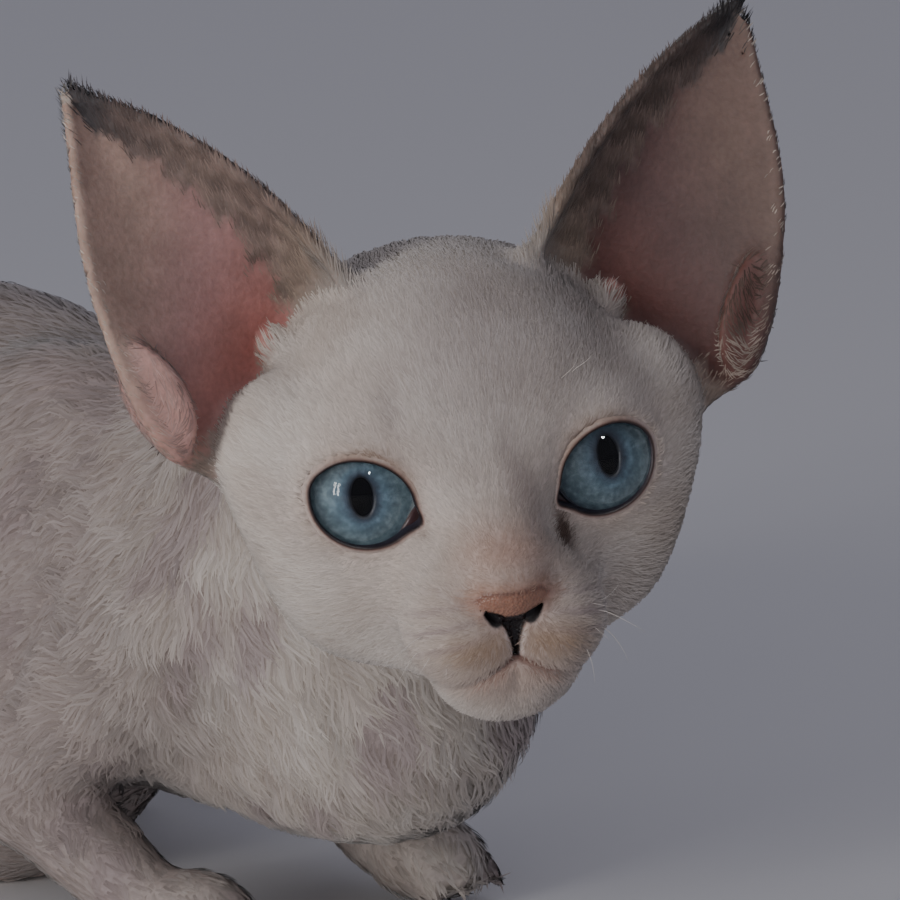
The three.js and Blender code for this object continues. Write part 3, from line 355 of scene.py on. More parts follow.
def line_gap(h, points):
    """Distance to a line of places across and up, seen from the front."""
    gap = np.full(h.shape[1:], 99.0)
    for (x0, z0), (x1, z1) in zip(points, points[1:]):
        run, climb = x1 - x0, z1 - z0
        t = np.clip(((h[0] - x0) * run + (h[2] - z0) * climb) / (run**2 + climb**2), 0, 1)
        gap = np.minimum(gap, np.hypot(h[0] - x0 - t * run, h[2] - z0 - t * climb))
    return gap


def groove_half_width(z):
    """Half width of the black groove, from between the nostrils down to the mouth."""
    return np.interp(z, [-22.8, -20.5, -18.3, -16.9], [0.35, 0.55, 1.2, 2.0])


def head_hide(h):
    """The head's skin in its own frame, with its ears, and with nose and mouth cut in."""
    d = head_outline(h) + head_coat_depth(h)
    d = blend(d, ear_outline(h), 4.5)
    in_front = h[1] < MUZZLE_BACK
    mouth = np.maximum(line_gap(h, MOUTH_LINE) - MOUTH_HALF_WIDTH,
                       -d - MOUTH_DEPTH + MOUTH_SHALLOWER * np.abs(h[0]))
    d = np.where(in_front, carve(d, mouth, MOUTH_RIM), d)
    groove = np.maximum(np.abs(h[2] - GROOVE_MIDDLE) - GROOVE_HALF_LENGTH,
                        np.abs(h[0]) - groove_half_width(h[2]))
    d = np.where(in_front, carve(d, np.maximum(groove, -d - GROOVE_DEPTH), GROOVE_RIM), d)
    return carve(d, limb(mirrored(h), *NOSTRIL), NOSTRIL_RIM)


# The field is worked out only near each mass: the head within its reach, the limbs under their
# top, the tail behind its root
HEAD_REACH, LIMBS_TOP, TAIL_ROOT, TAIL_TOP = 76, 88, 56, 74
SKULL_MIDDLE = from_head((0, 15, 12))


def hide(p):
    """The skin's field: negative inside."""
    p = np.asarray(p, np.float32)
    shape = p.shape[1:]
    p = p.reshape(3, -1)
    d = trunk_outline(p) + TRUNK_COAT
    off = np.sqrt(sum((p[i] - SKULL_MIDDLE[i]) ** 2 for i in range(3)))
    near = off < HEAD_REACH
    d[near] = blend(d[near], head_hide(to_head(p[:, near]).astype(np.float32)), 7)
    low = p[2] < LIMBS_TOP
    d[low] = limbs_hide(d[low], p[:, low])
    behind = (p[1] > TAIL_ROOT) & (p[2] < TAIL_TOP)
    d[behind] = blend(d[behind], tail_outline(p[:, behind]) + TAIL_COAT, 5)
    return np.maximum(d, FLOOR_SKIN - p[2]).reshape(shape)


FINEST, FINE, COARSE = 0.405, 0.88, 3.5  # grid steps over the nose, the head and the rest
EVENING = 0.5  # how far a vertex moves to the middle of its neighbours
EVENING_PASSES = 3


def ruled(low, high, fine_from, fine_to, finest_from, finest_to):
    """Grid lines that close up over the head, and once more over the nose and mouth."""
    lines = [low]
    while lines[-1] < high:
        gap = max(fine_from - lines[-1], lines[-1] - fine_to, 0)
        near = max(finest_from - lines[-1], lines[-1] - finest_to, 0)
        lines.append(lines[-1] + min(COARSE, FINE + 0.25 * gap, FINEST + 0.2 * near))
    return np.array(lines, np.float32)


NOSE_MIDDLE = from_head((0, -16, -18.5))
x, y, z = NOSE_MIDDLE
# Along each axis: from and to, then the fine stretch over the head, and the finest over the nose
hide_lines = [ruled(-74, 72, -70, 12, x - 8, x + 8), ruled(-100, 204, -96, -18, y - 5, y + 6),
              ruled(-3, 157, 62, 152, z - 6, z + 7)]
CUBE = [(c & 1, (c >> 1) & 1, c >> 2) for c in range(8)]
CUBE_EDGES = [(0, 1), (2, 3), (4, 5), (6, 7), (0, 2), (1, 3), (4, 6), (5, 7), (0, 4), (1, 5),
              (2, 6), (3, 7)]


def net_of(value, lines):
    """Quads round the space where value is negative: a vertex in each cell the surface crosses."""
    for axis in range(3):
        value[(slice(None),) * axis + ([0, -1],)] = 1
    inside = value < 0
    size = np.array(value.shape)
    count = sum(inside[x:size[0] - 1 + x, y:size[1] - 1 + y, z:size[2] - 1 + z].astype(np.int8)
                for x, y, z in CUBE)
    cells = np.argwhere((count > 0) & (count < 8))
    number = np.full(size, -1, np.int32)
    number[tuple(cells.T)] = np.arange(len(cells))
    corner = [cells + np.array(step) for step in CUBE]
    at = [np.stack([lines[i][c[:, i]] for i in range(3)], 1) for c in corner]
    held = [value[tuple(c.T)] for c in corner]
    total, hits = np.zeros((len(cells), 3)), np.zeros(len(cells))
    for a, b in CUBE_EDGES:
        crossed = (held[a] < 0) != (held[b] < 0)
        t = np.where(crossed, held[a] / np.where(crossed, held[a] - held[b], 1), 0)[:, None]
        total += np.where(crossed[:, None], at[a] + (at[b] - at[a]) * t, 0)
        hits += crossed
    quads = []
    for axis in range(3):
        u, v = (axis + 1) % 3, (axis + 2) % 3
        step = np.eye(3, dtype=int)
        here = np.delete(inside, -1, axis)
        there = np.delete(inside, 0, axis)
        edges = np.argwhere(here != there)
        edges = edges[(edges[:, u] > 0) & (edges[:, v] > 0)]
        ring = [edges - step[u] - step[v], edges - step[v], edges, edges - step[u]]
        ring = np.stack([number[tuple(r.T)] for r in ring], 1)
        outward = inside[tuple(edges.T)]
        quads.append(np.where(outward[:, None], ring, ring[:, ::-1]))
    return total / hits[:, None], np.vstack(quads)


def evened(places, quads):
    """Each vertex moved towards the middle of its neighbours."""
    start, end = quads.ravel(), np.roll(quads, -1, 1).ravel()
    both, other = np.concatenate([start, end]), np.concatenate([end, start])
    counts = np.bincount(both, minlength=len(places))
    middle = np.stack([np.bincount(both, places[other, i], len(places)) for i in range(3)], 1)
    return places + EVENING * (middle / counts[:, None] - places)


def drawn(field, places, reach):
    """Places moved on to the field's surface, by no more than reach."""
    h = 0.05
    p = places.T
    d = field(p).astype(float)
    slope = np.stack([field(p + h * np.eye(3)[i][:, None]) - d for i in range(3)], 1) / h
    steep = np.maximum((slope**2).sum(1), 0.2)
    return places + slope * np.clip(-d / steep, -reach, reach)[:, None]


def mesh_of(name, places, faces):
    """A smooth-shaded piece, its faces turned outwards if it is closed and inside out."""
    mesh = bpy.data.meshes.new(name)
    mesh.from_pydata(np.asarray(places).tolist(), [], np.asarray(faces, object).tolist())
    mesh.update()
    centres, normals, areas = (np.zeros(len(mesh.polygons) * n, np.float32) for n in (3, 3, 1))
    mesh.polygons.foreach_get("center", centres)
    mesh.polygons.foreach_get("normal", normals)
    mesh.polygons.foreach_get("area", areas)
    if ((centres * normals).reshape(-1, 3).sum(1) * areas).sum() < 0:
        mesh.flip_normals()
    mesh.shade_smooth()
    piece = bpy.data.objects.new(name, mesh)
    bpy.context.scene.collection.objects.link(piece)
    return piece


def largest_part(places, quads):
    """The biggest connected sheet of a net."""
    label = np.arange(len(places))
    while True:
        lowest = label[quads].min(1)
        before = label.copy()
        for k in range(4):
            np.minimum.at(label, quads[:, k], lowest)
        label = label[label]
        if np.array_equal(label, before):
            break
    kept = label == np.bincount(label).argmax()
    number = np.cumsum(kept) - 1
    return places[kept], number[quads[kept[quads[:, 0]]]]


# Each eye's opening between the lids, an almond with its outer corner raised
LID_HALF_WIDTH, LID_HALF_HEIGHT = 7.7, 6.6
LID_DROP = 0.35  # the opening's middle lies this far under the ball's
LID_SLANT = math.radians(24)
EYE_LOOKS_OUT, EYE_LOOKS_DOWN = math.radians(8), math.radians(2.5)
LID_SLACK = 0.4  # the skin is cut back this far behind the lids' margin
EYES_REACH = 34  # the sockets are worked out only this near to the eyes


def eye_plane(q):
    """Places about the left eye: across and up in the plane of its opening, and forward of it."""
    x, y, z = q[0] - EYE_APART, q[1], q[2] + LID_DROP
    out = math.cos(EYE_LOOKS_OUT), math.sin(EYE_LOOKS_OUT)
    side, ahead = x * out[0] + y * out[1], x * out[1] - y * out[0]
    down = math.cos(EYE_LOOKS_DOWN), math.sin(EYE_LOOKS_DOWN)
    z, ahead = z * down[0] + ahead * down[1], ahead * down[0] - z * down[1]
    across = side * math.cos(LID_SLANT) + z * math.sin(LID_SLANT)
    return across, z * math.cos(LID_SLANT) - side * math.sin(LID_SLANT), ahead


def lid_opening(angle):
    """Radius of the almond opening, drawn out at the inner corner and a little at the outer."""
    oval = 1 / np.hypot(np.cos(angle) / LID_HALF_WIDTH, np.sin(angle) / LID_HALF_HEIGHT)
    inner = np.exp(-((np.mod(angle, 2 * np.pi) - np.pi) / 0.2) ** 2)
    outer = np.exp(-((np.mod(angle + np.pi, 2 * np.pi) - np.pi) / 0.3) ** 2)
    return oval * (1 + 0.15 * inner + 0.03 * outer)


def past_lid(across, rise):
    """How far outside the opening a place of its plane lies, in millimetres."""
    return np.hypot(across, rise) - lid_opening(np.arctan2(rise, across))


def eye_socket(h):
    """The eye's room: a well a little wider than the opening, down to the ball's middle."""
    across, rise, ahead = eye_plane(mirrored(h))
    off = mirrored(h) - np.array([EYE_APART, 0, 0]).reshape((3,) + (1,) * (h.ndim - 1))
    ball = np.sqrt((off**2).sum(0)) - EYE_RADIUS - 0.1
    return np.maximum(past_lid(across, rise) - LID_SLACK, np.minimum(2.0 - ahead, ball))


def hide_with_eyes(p):
    """The skin's field with the sockets of the eyes cut into it."""
    d = hide(p)
    flat = p.reshape(3, -1)
    off = np.sqrt(sum((flat[i] - EYES_MID[i]) ** 2 for i in range(3)))
    near = off < EYES_REACH
    held = d.reshape(-1)
    held[near] = carve(held[near], eye_socket(to_head(flat[:, near])).astype(np.float32), 0.6)
    return held.reshape(d.shape)


grid = np.stack(np.meshgrid(*hide_lines, indexing="ij")).astype(np.float32)
value = hide_with_eyes(grid)
hide_places, hide_quads = net_of(value, hide_lines)
hide_places, hide_quads = largest_part(hide_places, hide_quads)
for _ in range(EVENING_PASSES):
    hide_places = drawn(hide_with_eyes, evened(hide_places, hide_quads), 1.0)
hide_places = drawn(hide_with_eyes, hide_places, 0.5)
skin = mesh_of("hide", in_row(hide_places), hide_quads)
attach(skin, "root")
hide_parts(*[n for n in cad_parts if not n.startswith("eye_")])

# Eyes: a moist ball with a clear dome in front, a blue iris and a black upright pupil.
# The iris is a sunk, faintly ribbed ring of revolution; the dome is a clear solid over it, and
# light passes the dome unbent, as it casts no shadow.

LIMBUS_RADIUS = 8.1  # where white and dome meet
DOME_RADIUS = 8.25
PUPIL_HALF = (1.4, 2.5)  # half its width and height
IRIS_DEPTHS = (4.2, 1.95)  # ahead of the ball's centre, at the pupil and at the dome's rim
GAZE = {"left": (math.radians(18.4), math.radians(10.4)),
        "right": (math.radians(-7.7), math.radians(1.3))}
EYE_AROUND = 96
BALL_HOLLOW = [(LIMBUS_RADIUS - 0.05, -0.25), (LIMBUS_RADIUS - 2.5, -1.2), (0.02, -3)]
DOME_BACK = [(LIMBUS_RADIUS - 0.04, -0.2), (0.02, -2.4)]  # radius, and ahead of the dome's rim


def revolved(profile):
    """Places and faces of a surface of revolution about -y from (radius, ahead) pairs."""
    angles = np.linspace(0, 2 * np.pi, EYE_AROUND, endpoint=False)
    rings = [np.stack([radius * np.cos(angles), np.full(EYE_AROUND, -ahead),
                       radius * np.sin(angles)], 1) for radius, ahead in profile]
    return np.concatenate(rings), ring_faces(len(profile), EYE_AROUND)


def ring_faces(rings, around):
    """Quads between rings of places, and last the two faces that close the ends."""
    faces = []
    for r in range(rings - 1):
        for k in range(around):
            n = (k + 1) % around
            faces.append((r * around + k, r * around + n, (r + 1) * around + n, (r + 1) * around + k))
    faces.append(tuple(range(around))[::-1])
    faces.append(tuple((rings - 1) * around + k for k in range(around)))
    return faces


def looking(places, side):
    """From an eye's own frame, looking along -y, to the part's."""
    sign = 1 if side == "left" else -1
    turn, rise = GAZE[side]
    turned = turn_about("Z", turn) @ turn_about("X", -rise) @ places.T
    return in_row(from_head(turned + np.array([[EYE_APART * sign], [0], [0]])).T)


def limbus_ahead():
    """How far the dome's rim lies ahead of the ball's middle."""
    return math.sqrt(EYE_RADIUS**2 - LIMBUS_RADIUS**2)


def dome_ahead(radius):
    """How far the dome lies ahead of the ball's middle, this far from its axis."""
    centre = limbus_ahead() - math.sqrt(DOME_RADIUS**2 - LIMBUS_RADIUS**2)
    return centre + np.sqrt(np.maximum(DOME_RADIUS**2 - np.asarray(radius) ** 2, 0))


def new_finish(name, colour, roughness):
    """A finish of one colour, and its shader."""
    material = bpy.data.materials.new(name)
    material.use_nodes = True
    shader = material.node_tree.nodes["Principled BSDF"]
    shader.inputs["Base Color"].default_value = (*colour, 1)
    shader.inputs["Roughness"].default_value = roughness
    return material, shader


def node(tree, kind, inputs=None, **settings):
    """A node of a tree with its inputs joined to sockets or set to values, by name or number."""
    made = tree.nodes.new(kind)
    for name, value in settings.items():
        setattr(made, name, value)
    for key, value in (inputs or {}).items():
        socket = made.inputs[key]
        if isinstance(value, bpy.types.NodeSocket):
            tree.links.new(value, socket)
        else:
            socket.default_value = value
    return made


def ramp(tree, factor, stops):
    """The colour between stops, each a spot from 0 to 1 and its colour."""
    made = node(tree, "ShaderNodeValToRGB", {0: factor})
    elements = made.color_ramp.elements
    while len(elements) < len(stops):
        elements.new(0.5)
    for element, (spot, colour) in zip(elements, stops):
        element.position = spot
        element.color = (*colour, 1)
    return made.outputs["Color"]


def object_place(tree):
    return node(tree, "ShaderNodeTexCoord").outputs["Object"]


def own(tree, name, output="Fac"):
    """A value that the mesh keeps on its vertices."""
    return node(tree, "ShaderNodeAttribute", attribute_name=name).outputs[output]


def noise(tree, place, scale, detail, **more):
    inputs = {"Vector": place, "Scale": scale, "Detail": detail, **more}
    return node(tree, "ShaderNodeTexNoise", inputs).outputs["Fac"]


def multiplied(tree, colour, shade):
    """A colour darkened or lightened by a shade."""
    return node(tree, "ShaderNodeMix", {0: 1.0, 6: colour, 7: shade}, data_type="RGBA",
                blend_type="MULTIPLY").outputs[2]


def roughened(tree, shader, height, strength, depth):
    """Relief of the height's pattern, as deep as depth, on a shader."""
    bump = node(tree, "ShaderNodeBump", {"Height": height, "Strength": strength, "Distance": depth})
    tree.links.new(bump.outputs[0], shader.inputs["Normal"])


IRIS_DARK, IRIS_MID, IRIS_PALE = (0.045, 0.078, 0.10), (0.082, 0.132, 0.16), (0.2, 0.27, 0.3)


def iris_finish():
    """Fine pale fibres from pupil to rim over a blue-grey ground, darkest at the rim."""
    material, shader = new_finish("iris", IRIS_MID, 0.45)
    tree = material.node_tree
    place = own(tree, "iris_place", "Vector")
    across = node(tree, "ShaderNodeSeparateXYZ", {0: place}).outputs["Z"]
    fibres = noise(tree, place, 13, 5, Roughness=0.65, Distortion=0.35)
    streaks = noise(tree, place, 31, 3, Roughness=0.6)
    cloud = noise(tree, object_place(tree), 1100, 4)
    mixed = 0.0
    for pattern, share in ((fibres, 0.2), (streaks, 0.12), (cloud, 0.77)):
        mixed = node(tree, "ShaderNodeMath", {0: pattern, 1: share, 2: mixed},
                     operation="MULTIPLY_ADD").outputs[0]
    fibre_colour = ramp(tree, mixed, [
        (0.34, IRIS_DARK), (0.5, IRIS_MID), (0.62, (0.13, 0.19, 0.22)), (0.75, IRIS_PALE)])
    rim = ramp(tree, across, [
        (0.0, (0.02, 0.03, 0.06)), (0.07, (0.12, 0.16, 0.25)), (0.22, (0.72, 0.82, 0.93)),
        (0.50, (1.0, 1.0, 1.0)), (0.78, (0.84, 0.87, 0.90)), (0.92, (0.52, 0.56, 0.64)),
        (0.99, (0.12, 0.13, 0.18))])
    tree.links.new(multiplied(tree, fibre_colour, rim), shader.inputs["Base Color"])
    roughened(tree, shader, mixed, 0.25, 0.0002)
    return material


def iris_ring(radius_share, angle):
    """Radius of the iris at a share of its way from the oval pupil to the dome's rim."""
    wide, high = PUPIL_HALF
    pupil = wide * high / np.sqrt((high * np.cos(angle)) ** 2 + (wide * np.sin(angle)) ** 2)
    return pupil + (LIMBUS_RADIUS - 0.1 - pupil) * radius_share


def rows_of(x, y, z):
    """A vector for each place, from parts that are arrays or the same for all."""
    return np.stack(np.broadcast_arrays(x, y, z), 1).astype(float)


IRIS_PIT = [(0.02, 2.6), (0.8, 2.6), (0.95, 0.4)]  # shares of the pupil's radius, and depths
IRIS_STEPS = 24


def iris_surface():
    """Rings from the pit behind the pupil out to the rim, and each vertex's place in the pattern."""
    angles = np.linspace(0, 2 * np.pi, EYE_AROUND * 2, endpoint=False)
    near, far = IRIS_DEPTHS
    rings = [(iris_ring(0, angles) * share, near - depth, 0.0) for share, depth in IRIS_PIT]
    for share in np.arange(IRIS_STEPS + 1) / IRIS_STEPS:
        ruffle = 0.02 * np.sin(angles * 37 + 3 * np.sin(angles * 5)) * math.sin(math.pi * share)
        fold = 0.10 * math.exp(-((share - 0.28) / 0.09) ** 2)
        lip = -0.12 * math.exp(-((share) / 0.04) ** 2)
        ahead = near + (far - near) * share ** 1.4 + ruffle + fold + lip
        rings.append((iris_ring(share, angles), ahead, share))
    places = [rows_of(radius * np.cos(angles), -ahead, radius * np.sin(angles))
              for radius, ahead, _ in rings]
    pattern = [rows_of(np.cos(angles), np.sin(angles), share) for _, _, share in rings]
    return np.concatenate(places), np.concatenate(pattern), ring_faces(len(rings), len(angles))


def with_attribute(piece, name, kind, values):
    """Values kept on a piece's vertices under a name."""
    layer = piece.data.attributes.new(name, kind, "POINT")
    field = {"FLOAT_VECTOR": "vector", "FLOAT_COLOR": "color", "FLOAT": "value"}[kind]
    layer.data.foreach_set(field, np.asarray(values, np.float32).ravel())


# painted shade: the white of the eye is dark blue-grey, as it looks in the lids' shade
white_of_eye, shader = new_finish("white_of_eye", (0.045, 0.048, 0.07), 0.25)
shader.inputs["Coat Weight"].default_value = 0.6
pupil_black, shader = new_finish("pupil_black", (0.0015, 0.0015, 0.003), 1.0)
shader.inputs["Specular IOR Level"].default_value = 0.0
moist_dome, shader = new_finish("moist_dome", (1, 1, 1), 0.0)
shader.inputs["IOR"].default_value = 1.37
shader.inputs["Transmission Weight"].default_value = 1
iris_blue = iris_finish()

for side in ("left", "right"):
    back_of_ball = [(EYE_RADIUS * math.sin(a), EYE_RADIUS * math.cos(a))
                    for a in np.linspace(math.pi - 0.02, math.asin(LIMBUS_RADIUS / EYE_RADIUS), 30)]
    hollow = [(radius, limbus_ahead() + behind) for radius, behind in BALL_HOLLOW]
    places, faces = revolved(back_of_ball + hollow)
    ball = mesh_of(f"eyeball_{side}", looking(places, side), faces)
    ball.data.materials.append(white_of_eye)
    places, pattern, faces = iris_surface()
    iris = mesh_of(f"iris_{side}", looking(places, side), faces[:-2])
    iris.data.materials.append(iris_blue)
    iris.data.materials.append(pupil_black)
    for polygon in iris.data.polygons[:EYE_AROUND * 2 * (len(IRIS_PIT) - 1)]:
        polygon.material_index = 1
    with_attribute(iris, "iris_place", "FLOAT_VECTOR", pattern)
    radii = np.append(np.linspace(0.02, LIMBUS_RADIUS - 0.6, 26),
                      np.linspace(LIMBUS_RADIUS - 0.4, LIMBUS_RADIUS, 6))
    shell = [(r, float(dome_ahead(r))) for r in radii]
    shell += [(radius, limbus_ahead() + behind) for radius, behind in DOME_BACK]
    places, faces = revolved(shell)
    dome = mesh_of(f"eye_dome_{side}", looking(places, side), faces)
    dome.data.materials.append(moist_dome)
    dome.visible_shadow = False
    for piece in (ball, iris, dome):
        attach(piece, "root")
        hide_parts(f"eye_{side}")

# Lids: the rounded margin of skin round each eye, and the moist flesh in its inner corner.
# Dark skin at the edge turns reddish brown and then into the face's own colour. Each is a ring
# that starts on the ball, rolls over the edge and ends just under the skin of the face.

LID_RINGS = [  # millimetres outside the opening, height over the skin, colour
    (-0.44, -2.3, (46, 44, 58)), (-0.34, -0.55, (44, 38, 48)), (-0.14, -0.12, (46, 35, 35)),
    (0.06, 0.01, (84, 64, 58)), (0.22, 0.02, (150, 128, 119)), (0.45, 0.0, (188, 172, 163)),
    (0.8, -0.16, (198, 186, 178)), (1.3, -0.5, (202, 192, 184))]
LID_AROUND = 144
LID_START, LID_STEPS = 10.0, 14  # a ring's places come from this far ahead, in so many steps
UPPER_LID_BROWN = (0.22, 0.30, 0.36)  # how much red, green and blue the upper lid's skin loses
FLESH_MIDDLE, FLESH_RADII = (-7.5, -2.2, 2.2), (1.9, 3.3, 1.4)
FLESH_RINGS, FLESH_AROUND = 12, 24


def tone(red, green, blue):
    """A colour as light sees it, from its everyday levels of 0 to 255."""
    return np.array([(v / 255) ** 2.2 for v in (red, green, blue)])


def off_plane(across, rise, ahead):
    """From an eye's opening plane to the head's frame, for the left eye."""
    side = across * math.cos(LID_SLANT) - rise * math.sin(LID_SLANT)
    up = across * math.sin(LID_SLANT) + rise * math.cos(LID_SLANT)
    down = math.cos(EYE_LOOKS_DOWN), math.sin(EYE_LOOKS_DOWN)
    up, ahead = up * down[0] - ahead * down[1], ahead * down[0] + up * down[1]
    out = math.cos(EYE_LOOKS_OUT), math.sin(EYE_LOOKS_OUT)
    return np.stack([side * out[0] + ahead * out[1] + EYE_APART, side * out[1] - ahead * out[0],
                     up - LID_DROP])


def eyelid_finish():
    """Skin in the ring's own colours, finely mottled and creased."""
    material, shader = new_finish("eyelid_skin", (0.4, 0.3, 0.26), 0.42)
    tree = material.node_tree
    fine = noise(tree, object_place(tree), 1500, 4)
    shade = ramp(tree, fine, [(0.3, (0.78, 0.76, 0.76)), (0.7, (1.1, 1.06, 1.04))])
    tree.links.new(multiplied(tree, own(tree, "lid_colour", "Color"), shade),
                   shader.inputs["Base Color"])
    roughened(tree, shader, fine, 0.4, 0.0002)
    return material


def lid_ring(past, height, colour):
    """Places round the left eye on the face's skin, past the opening, and each one's colour."""
    angles = np.linspace(0, 2 * np.pi, LID_AROUND, endpoint=False)
    radius = lid_opening(angles) + past
    place = np.stack([radius * np.cos(angles), radius * np.sin(angles), np.full(LID_AROUND, LID_START)])
    for _ in range(LID_STEPS):
        place[2] = np.maximum(place[2] - head_hide(off_plane(*place)), 0.5)
    place[2] += height
    brown = smooth_step(np.sin(angles), 0.1, 0.9) * (0 < past < 1)
    shade = 1 - np.outer(brown, UPPER_LID_BROWN)
    return off_plane(*place).T, np.hstack([shade * tone(*colour), np.ones((LID_AROUND, 1))])


lid_skin_finish = eyelid_finish()
corner_flesh, shader = new_finish("corner_flesh", (0.06, 0.03, 0.034), 0.3)
lid_places, lid_colours = zip(*[lid_ring(*ring) for ring in LID_RINGS])
turn, bend = np.meshgrid(np.linspace(0, 2 * np.pi, FLESH_AROUND, endpoint=False),
                         np.linspace(0.03, np.pi - 0.03, FLESH_RINGS))
ball = np.stack([np.sin(bend) * np.cos(turn), np.sin(bend) * np.sin(turn), np.cos(bend)], 2)
flesh_places = off_plane(*(ball * FLESH_RADII + FLESH_MIDDLE).reshape(-1, 3).T).T
for side, sign in (("left", 1), ("right", -1)):
    places = np.concatenate(lid_places) * (sign, 1, 1)
    faces = ring_faces(len(LID_RINGS), LID_AROUND)[:-2]
    lid = mesh_of(f"eyelid_{side}", in_row(from_head(places.T).T), faces)
    if sign > 0:
        lid.data.flip_normals()
    with_attribute(lid, "lid_colour", "FLOAT_COLOR", np.concatenate(lid_colours))
    lid.data.materials.append(lid_skin_finish)
    places = flesh_places * (sign, 1, 1)
    corner = mesh_of(f"corner_of_eye_{side}", in_row(from_head(places.T).T),
                     ring_faces(FLESH_RINGS, FLESH_AROUND))
    corner.data.materials.append(corner_flesh)
    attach(corner, "root")
    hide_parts(f"eye_{side}")
    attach(lid, "root")
    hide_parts("head")

# Lie, length and colour of the hair, kept on the hide's vertices.
# Hair sweeps back from the nose over the head, down the chest and back along the body. It is
# cream white, smoky on the ears, and the mauve skin shows where the curls part.


def unit_rows(vectors):
    return vectors / np.maximum(np.linalg.norm(vectors, axis=1), 1e-9)[:, None]


def ear_spots(h):
    """For places near an ear: shares across and up its sheet, distance, and 1 on its inner face."""
    q = mirrored(h)
    count = q.shape[1]
    across, up, off, inner = np.zeros(count), np.zeros(count), np.full(count, EAR_FAR), np.zeros(count)
    near = np.all((q.T > EAR_BOX[0]) & (q.T < EAR_BOX[1]), 1)
    for i in np.flatnonzero(near):
        spot, _, face, gone = EAR_TREE.find_nearest(q[:, i], EAR_FAR)
        if spot is None:
            continue
        row, column = divmod(face, EAR_COLUMNS)
        across[i], up[i], off[i] = column / EAR_COLUMNS, row / EAR_ROWS, gone
        inner[i] = np.dot(q[:, i] - np.array(spot), EAR_BULGE) < 0
    return across, up, off, inner


def patch(h, centre, reach, stretch=(1, 1, 1)):
    """A soft round patch about a place in the head's frame."""
    return np.exp(-sum(((h[i] - centre[i]) / (reach * stretch[i])) ** 2 for i in range(3)))


def mix_in(base, colour, share):
    """Colours with another one mixed in by its share at each place."""
    return base + (np.asarray(colour) - base) * np.clip(share, 0, 1)[:, None]


def washed(colours, washes):
    """Colours with one wash after another mixed in, each a colour and its share."""
    for colour, share in washes:
        colours = mix_in(colours, colour, share)
    return colours


def cloudy(places, scale, seed):
    """A slow, even unrest between 0 and 1 over the surface, its waves about scale long."""
    rng = np.random.default_rng(seed)
    value = np.zeros(len(places))
    for _ in range(10):
        wave = rng.normal(size=3)
        wave *= rng.uniform(0.6, 1.5) / (scale * np.linalg.norm(wave))
        value += np.sin(places @ wave * 2 * np.pi + rng.uniform(0, 2 * np.pi))
    return smooth_step(value, -3.2, 3.2)


def between(here, there, share):
    """Vectors part of the way from one field to another."""
    return here * (1 - share)[:, None] + there * share[:, None]


p = hide_places.T
h = to_head(p)
hq = mirrored(h)
normals = np.zeros(len(hide_places) * 3, np.float32)
skin.data.vertices.foreach_get("normal", normals)
normals = normals.reshape(-1, 3).astype(float)
across, up, ear_off, ear_inner = ear_spots(h)
on_ear = (1 - smooth_step(ear_off, 1.6, 3.2)) * smooth_step(up, 0.02, 0.10)
on_head = np.maximum(1 - smooth_step(head_outline(h), 1, 12), on_ear)

# Where hair points: each place has a wish, and the part of it along the skin is kept
NOSE_ROOT = (0, -26, -15)
DOWN_CHEST, ALONG_BACK, DOWN_LEG = ((0.30, -0.25, -1.0), (0, 1.0, -0.45), (0, -0.8, -0.6))
sideways = np.sign(h[0])
across_eye, rise_eye, ahead_eye = eye_plane(hq)
lid_gone = np.where(ahead_eye > 0, past_lid(across_eye, rise_eye), 9)
from_nose = unit_rows(rows_of(*(h[i] - NOSE_ROOT[i] for i in range(3)))) + (0, 0.35, 0)
from_eye = unit_rows(rows_of(sideways * (hq[0] - EYE_APART), 0 * h[1], h[2]))
from_nose += 1.3 * np.exp(-np.maximum(lid_gone, 0) / 2.2)[:, None] * from_eye
down_throat = smooth_step(-h[2], 20, 34) * smooth_step(h[1], -8, 8)
from_nose += down_throat[:, None] * (0, 0.6, -1.2)
ear_wish = rows_of(0.55 * sideways, 0.1, 1.0)
ear_wish += rows_of(sideways, -0.3, -0.1) * ((across - 0.5) * 1.1)[:, None]
head_wish = between(from_nose, ear_wish, on_ear) @ HEAD_AXES.T
chest = 1 - smooth_step(p[1], -20, 34)
body_wish = between(np.array(ALONG_BACK), np.array(DOWN_CHEST), chest)
body_wish += rows_of(0, 0.35 * np.sin(p[2] / 9 + p[1] / 17), 0.35 * np.sin(p[1] / 11))
low = 1 - smooth_step(p[2], 20, 34)
body_wish = between(body_wish, np.array(DOWN_LEG), low)
tail_off = tail_outline(p.astype(np.float32))
nearest = np.argmin([((p.T - spot) ** 2).sum(1) for spot in TAIL_POINTS[:-1]], 0)
on_tail = (1 - smooth_step(tail_off, 0, 5)) * smooth_step(nearest, 1, 5)
body_wish = between(body_wish, unit_rows(np.diff(TAIL_POINTS, axis=0))[nearest], on_tail)
wish = between(body_wish, head_wish, on_head)
lie = unit_rows(wish - normals * (wish * normals).sum(1)[:, None])

# Length in millimetres, longer on the cheeks' ruff, the chin, the crown and under the ears
LONGER_HAIR = [  # middle, reach, by how much
    ((25, 10, -18), 13, 2.4), ((0, -8, -31), 6, 0.9), ((0, 4, 27), 13, 2.2), ((25, 4, 9), 8, 1.2)]
TRUNK_HAIR, CHEST_EXTRA, LEG_HAIR, TAIL_HAIR, POCKET_HAIR = 5.8, 1.6, 3.3, 3.4, 2.3
nose_gone = np.sqrt(h[0] ** 2 + ((h[1] + 18) / 0.9) ** 2 + (h[2] + 14) ** 2) - 5
pocket = 1 - smooth_step(ear_lobe(hq), 0.2, 1.3)
knob = 1 - smooth_step(egg(hq, *EAR_KNOB), 0.1, 0.9)
on_ear = np.maximum(on_ear, np.maximum(pocket, knob))
on_head = np.maximum(on_head, on_ear)
off_head = 1 - on_head
ear_inner = np.maximum(ear_inner, np.maximum(pocket, knob))
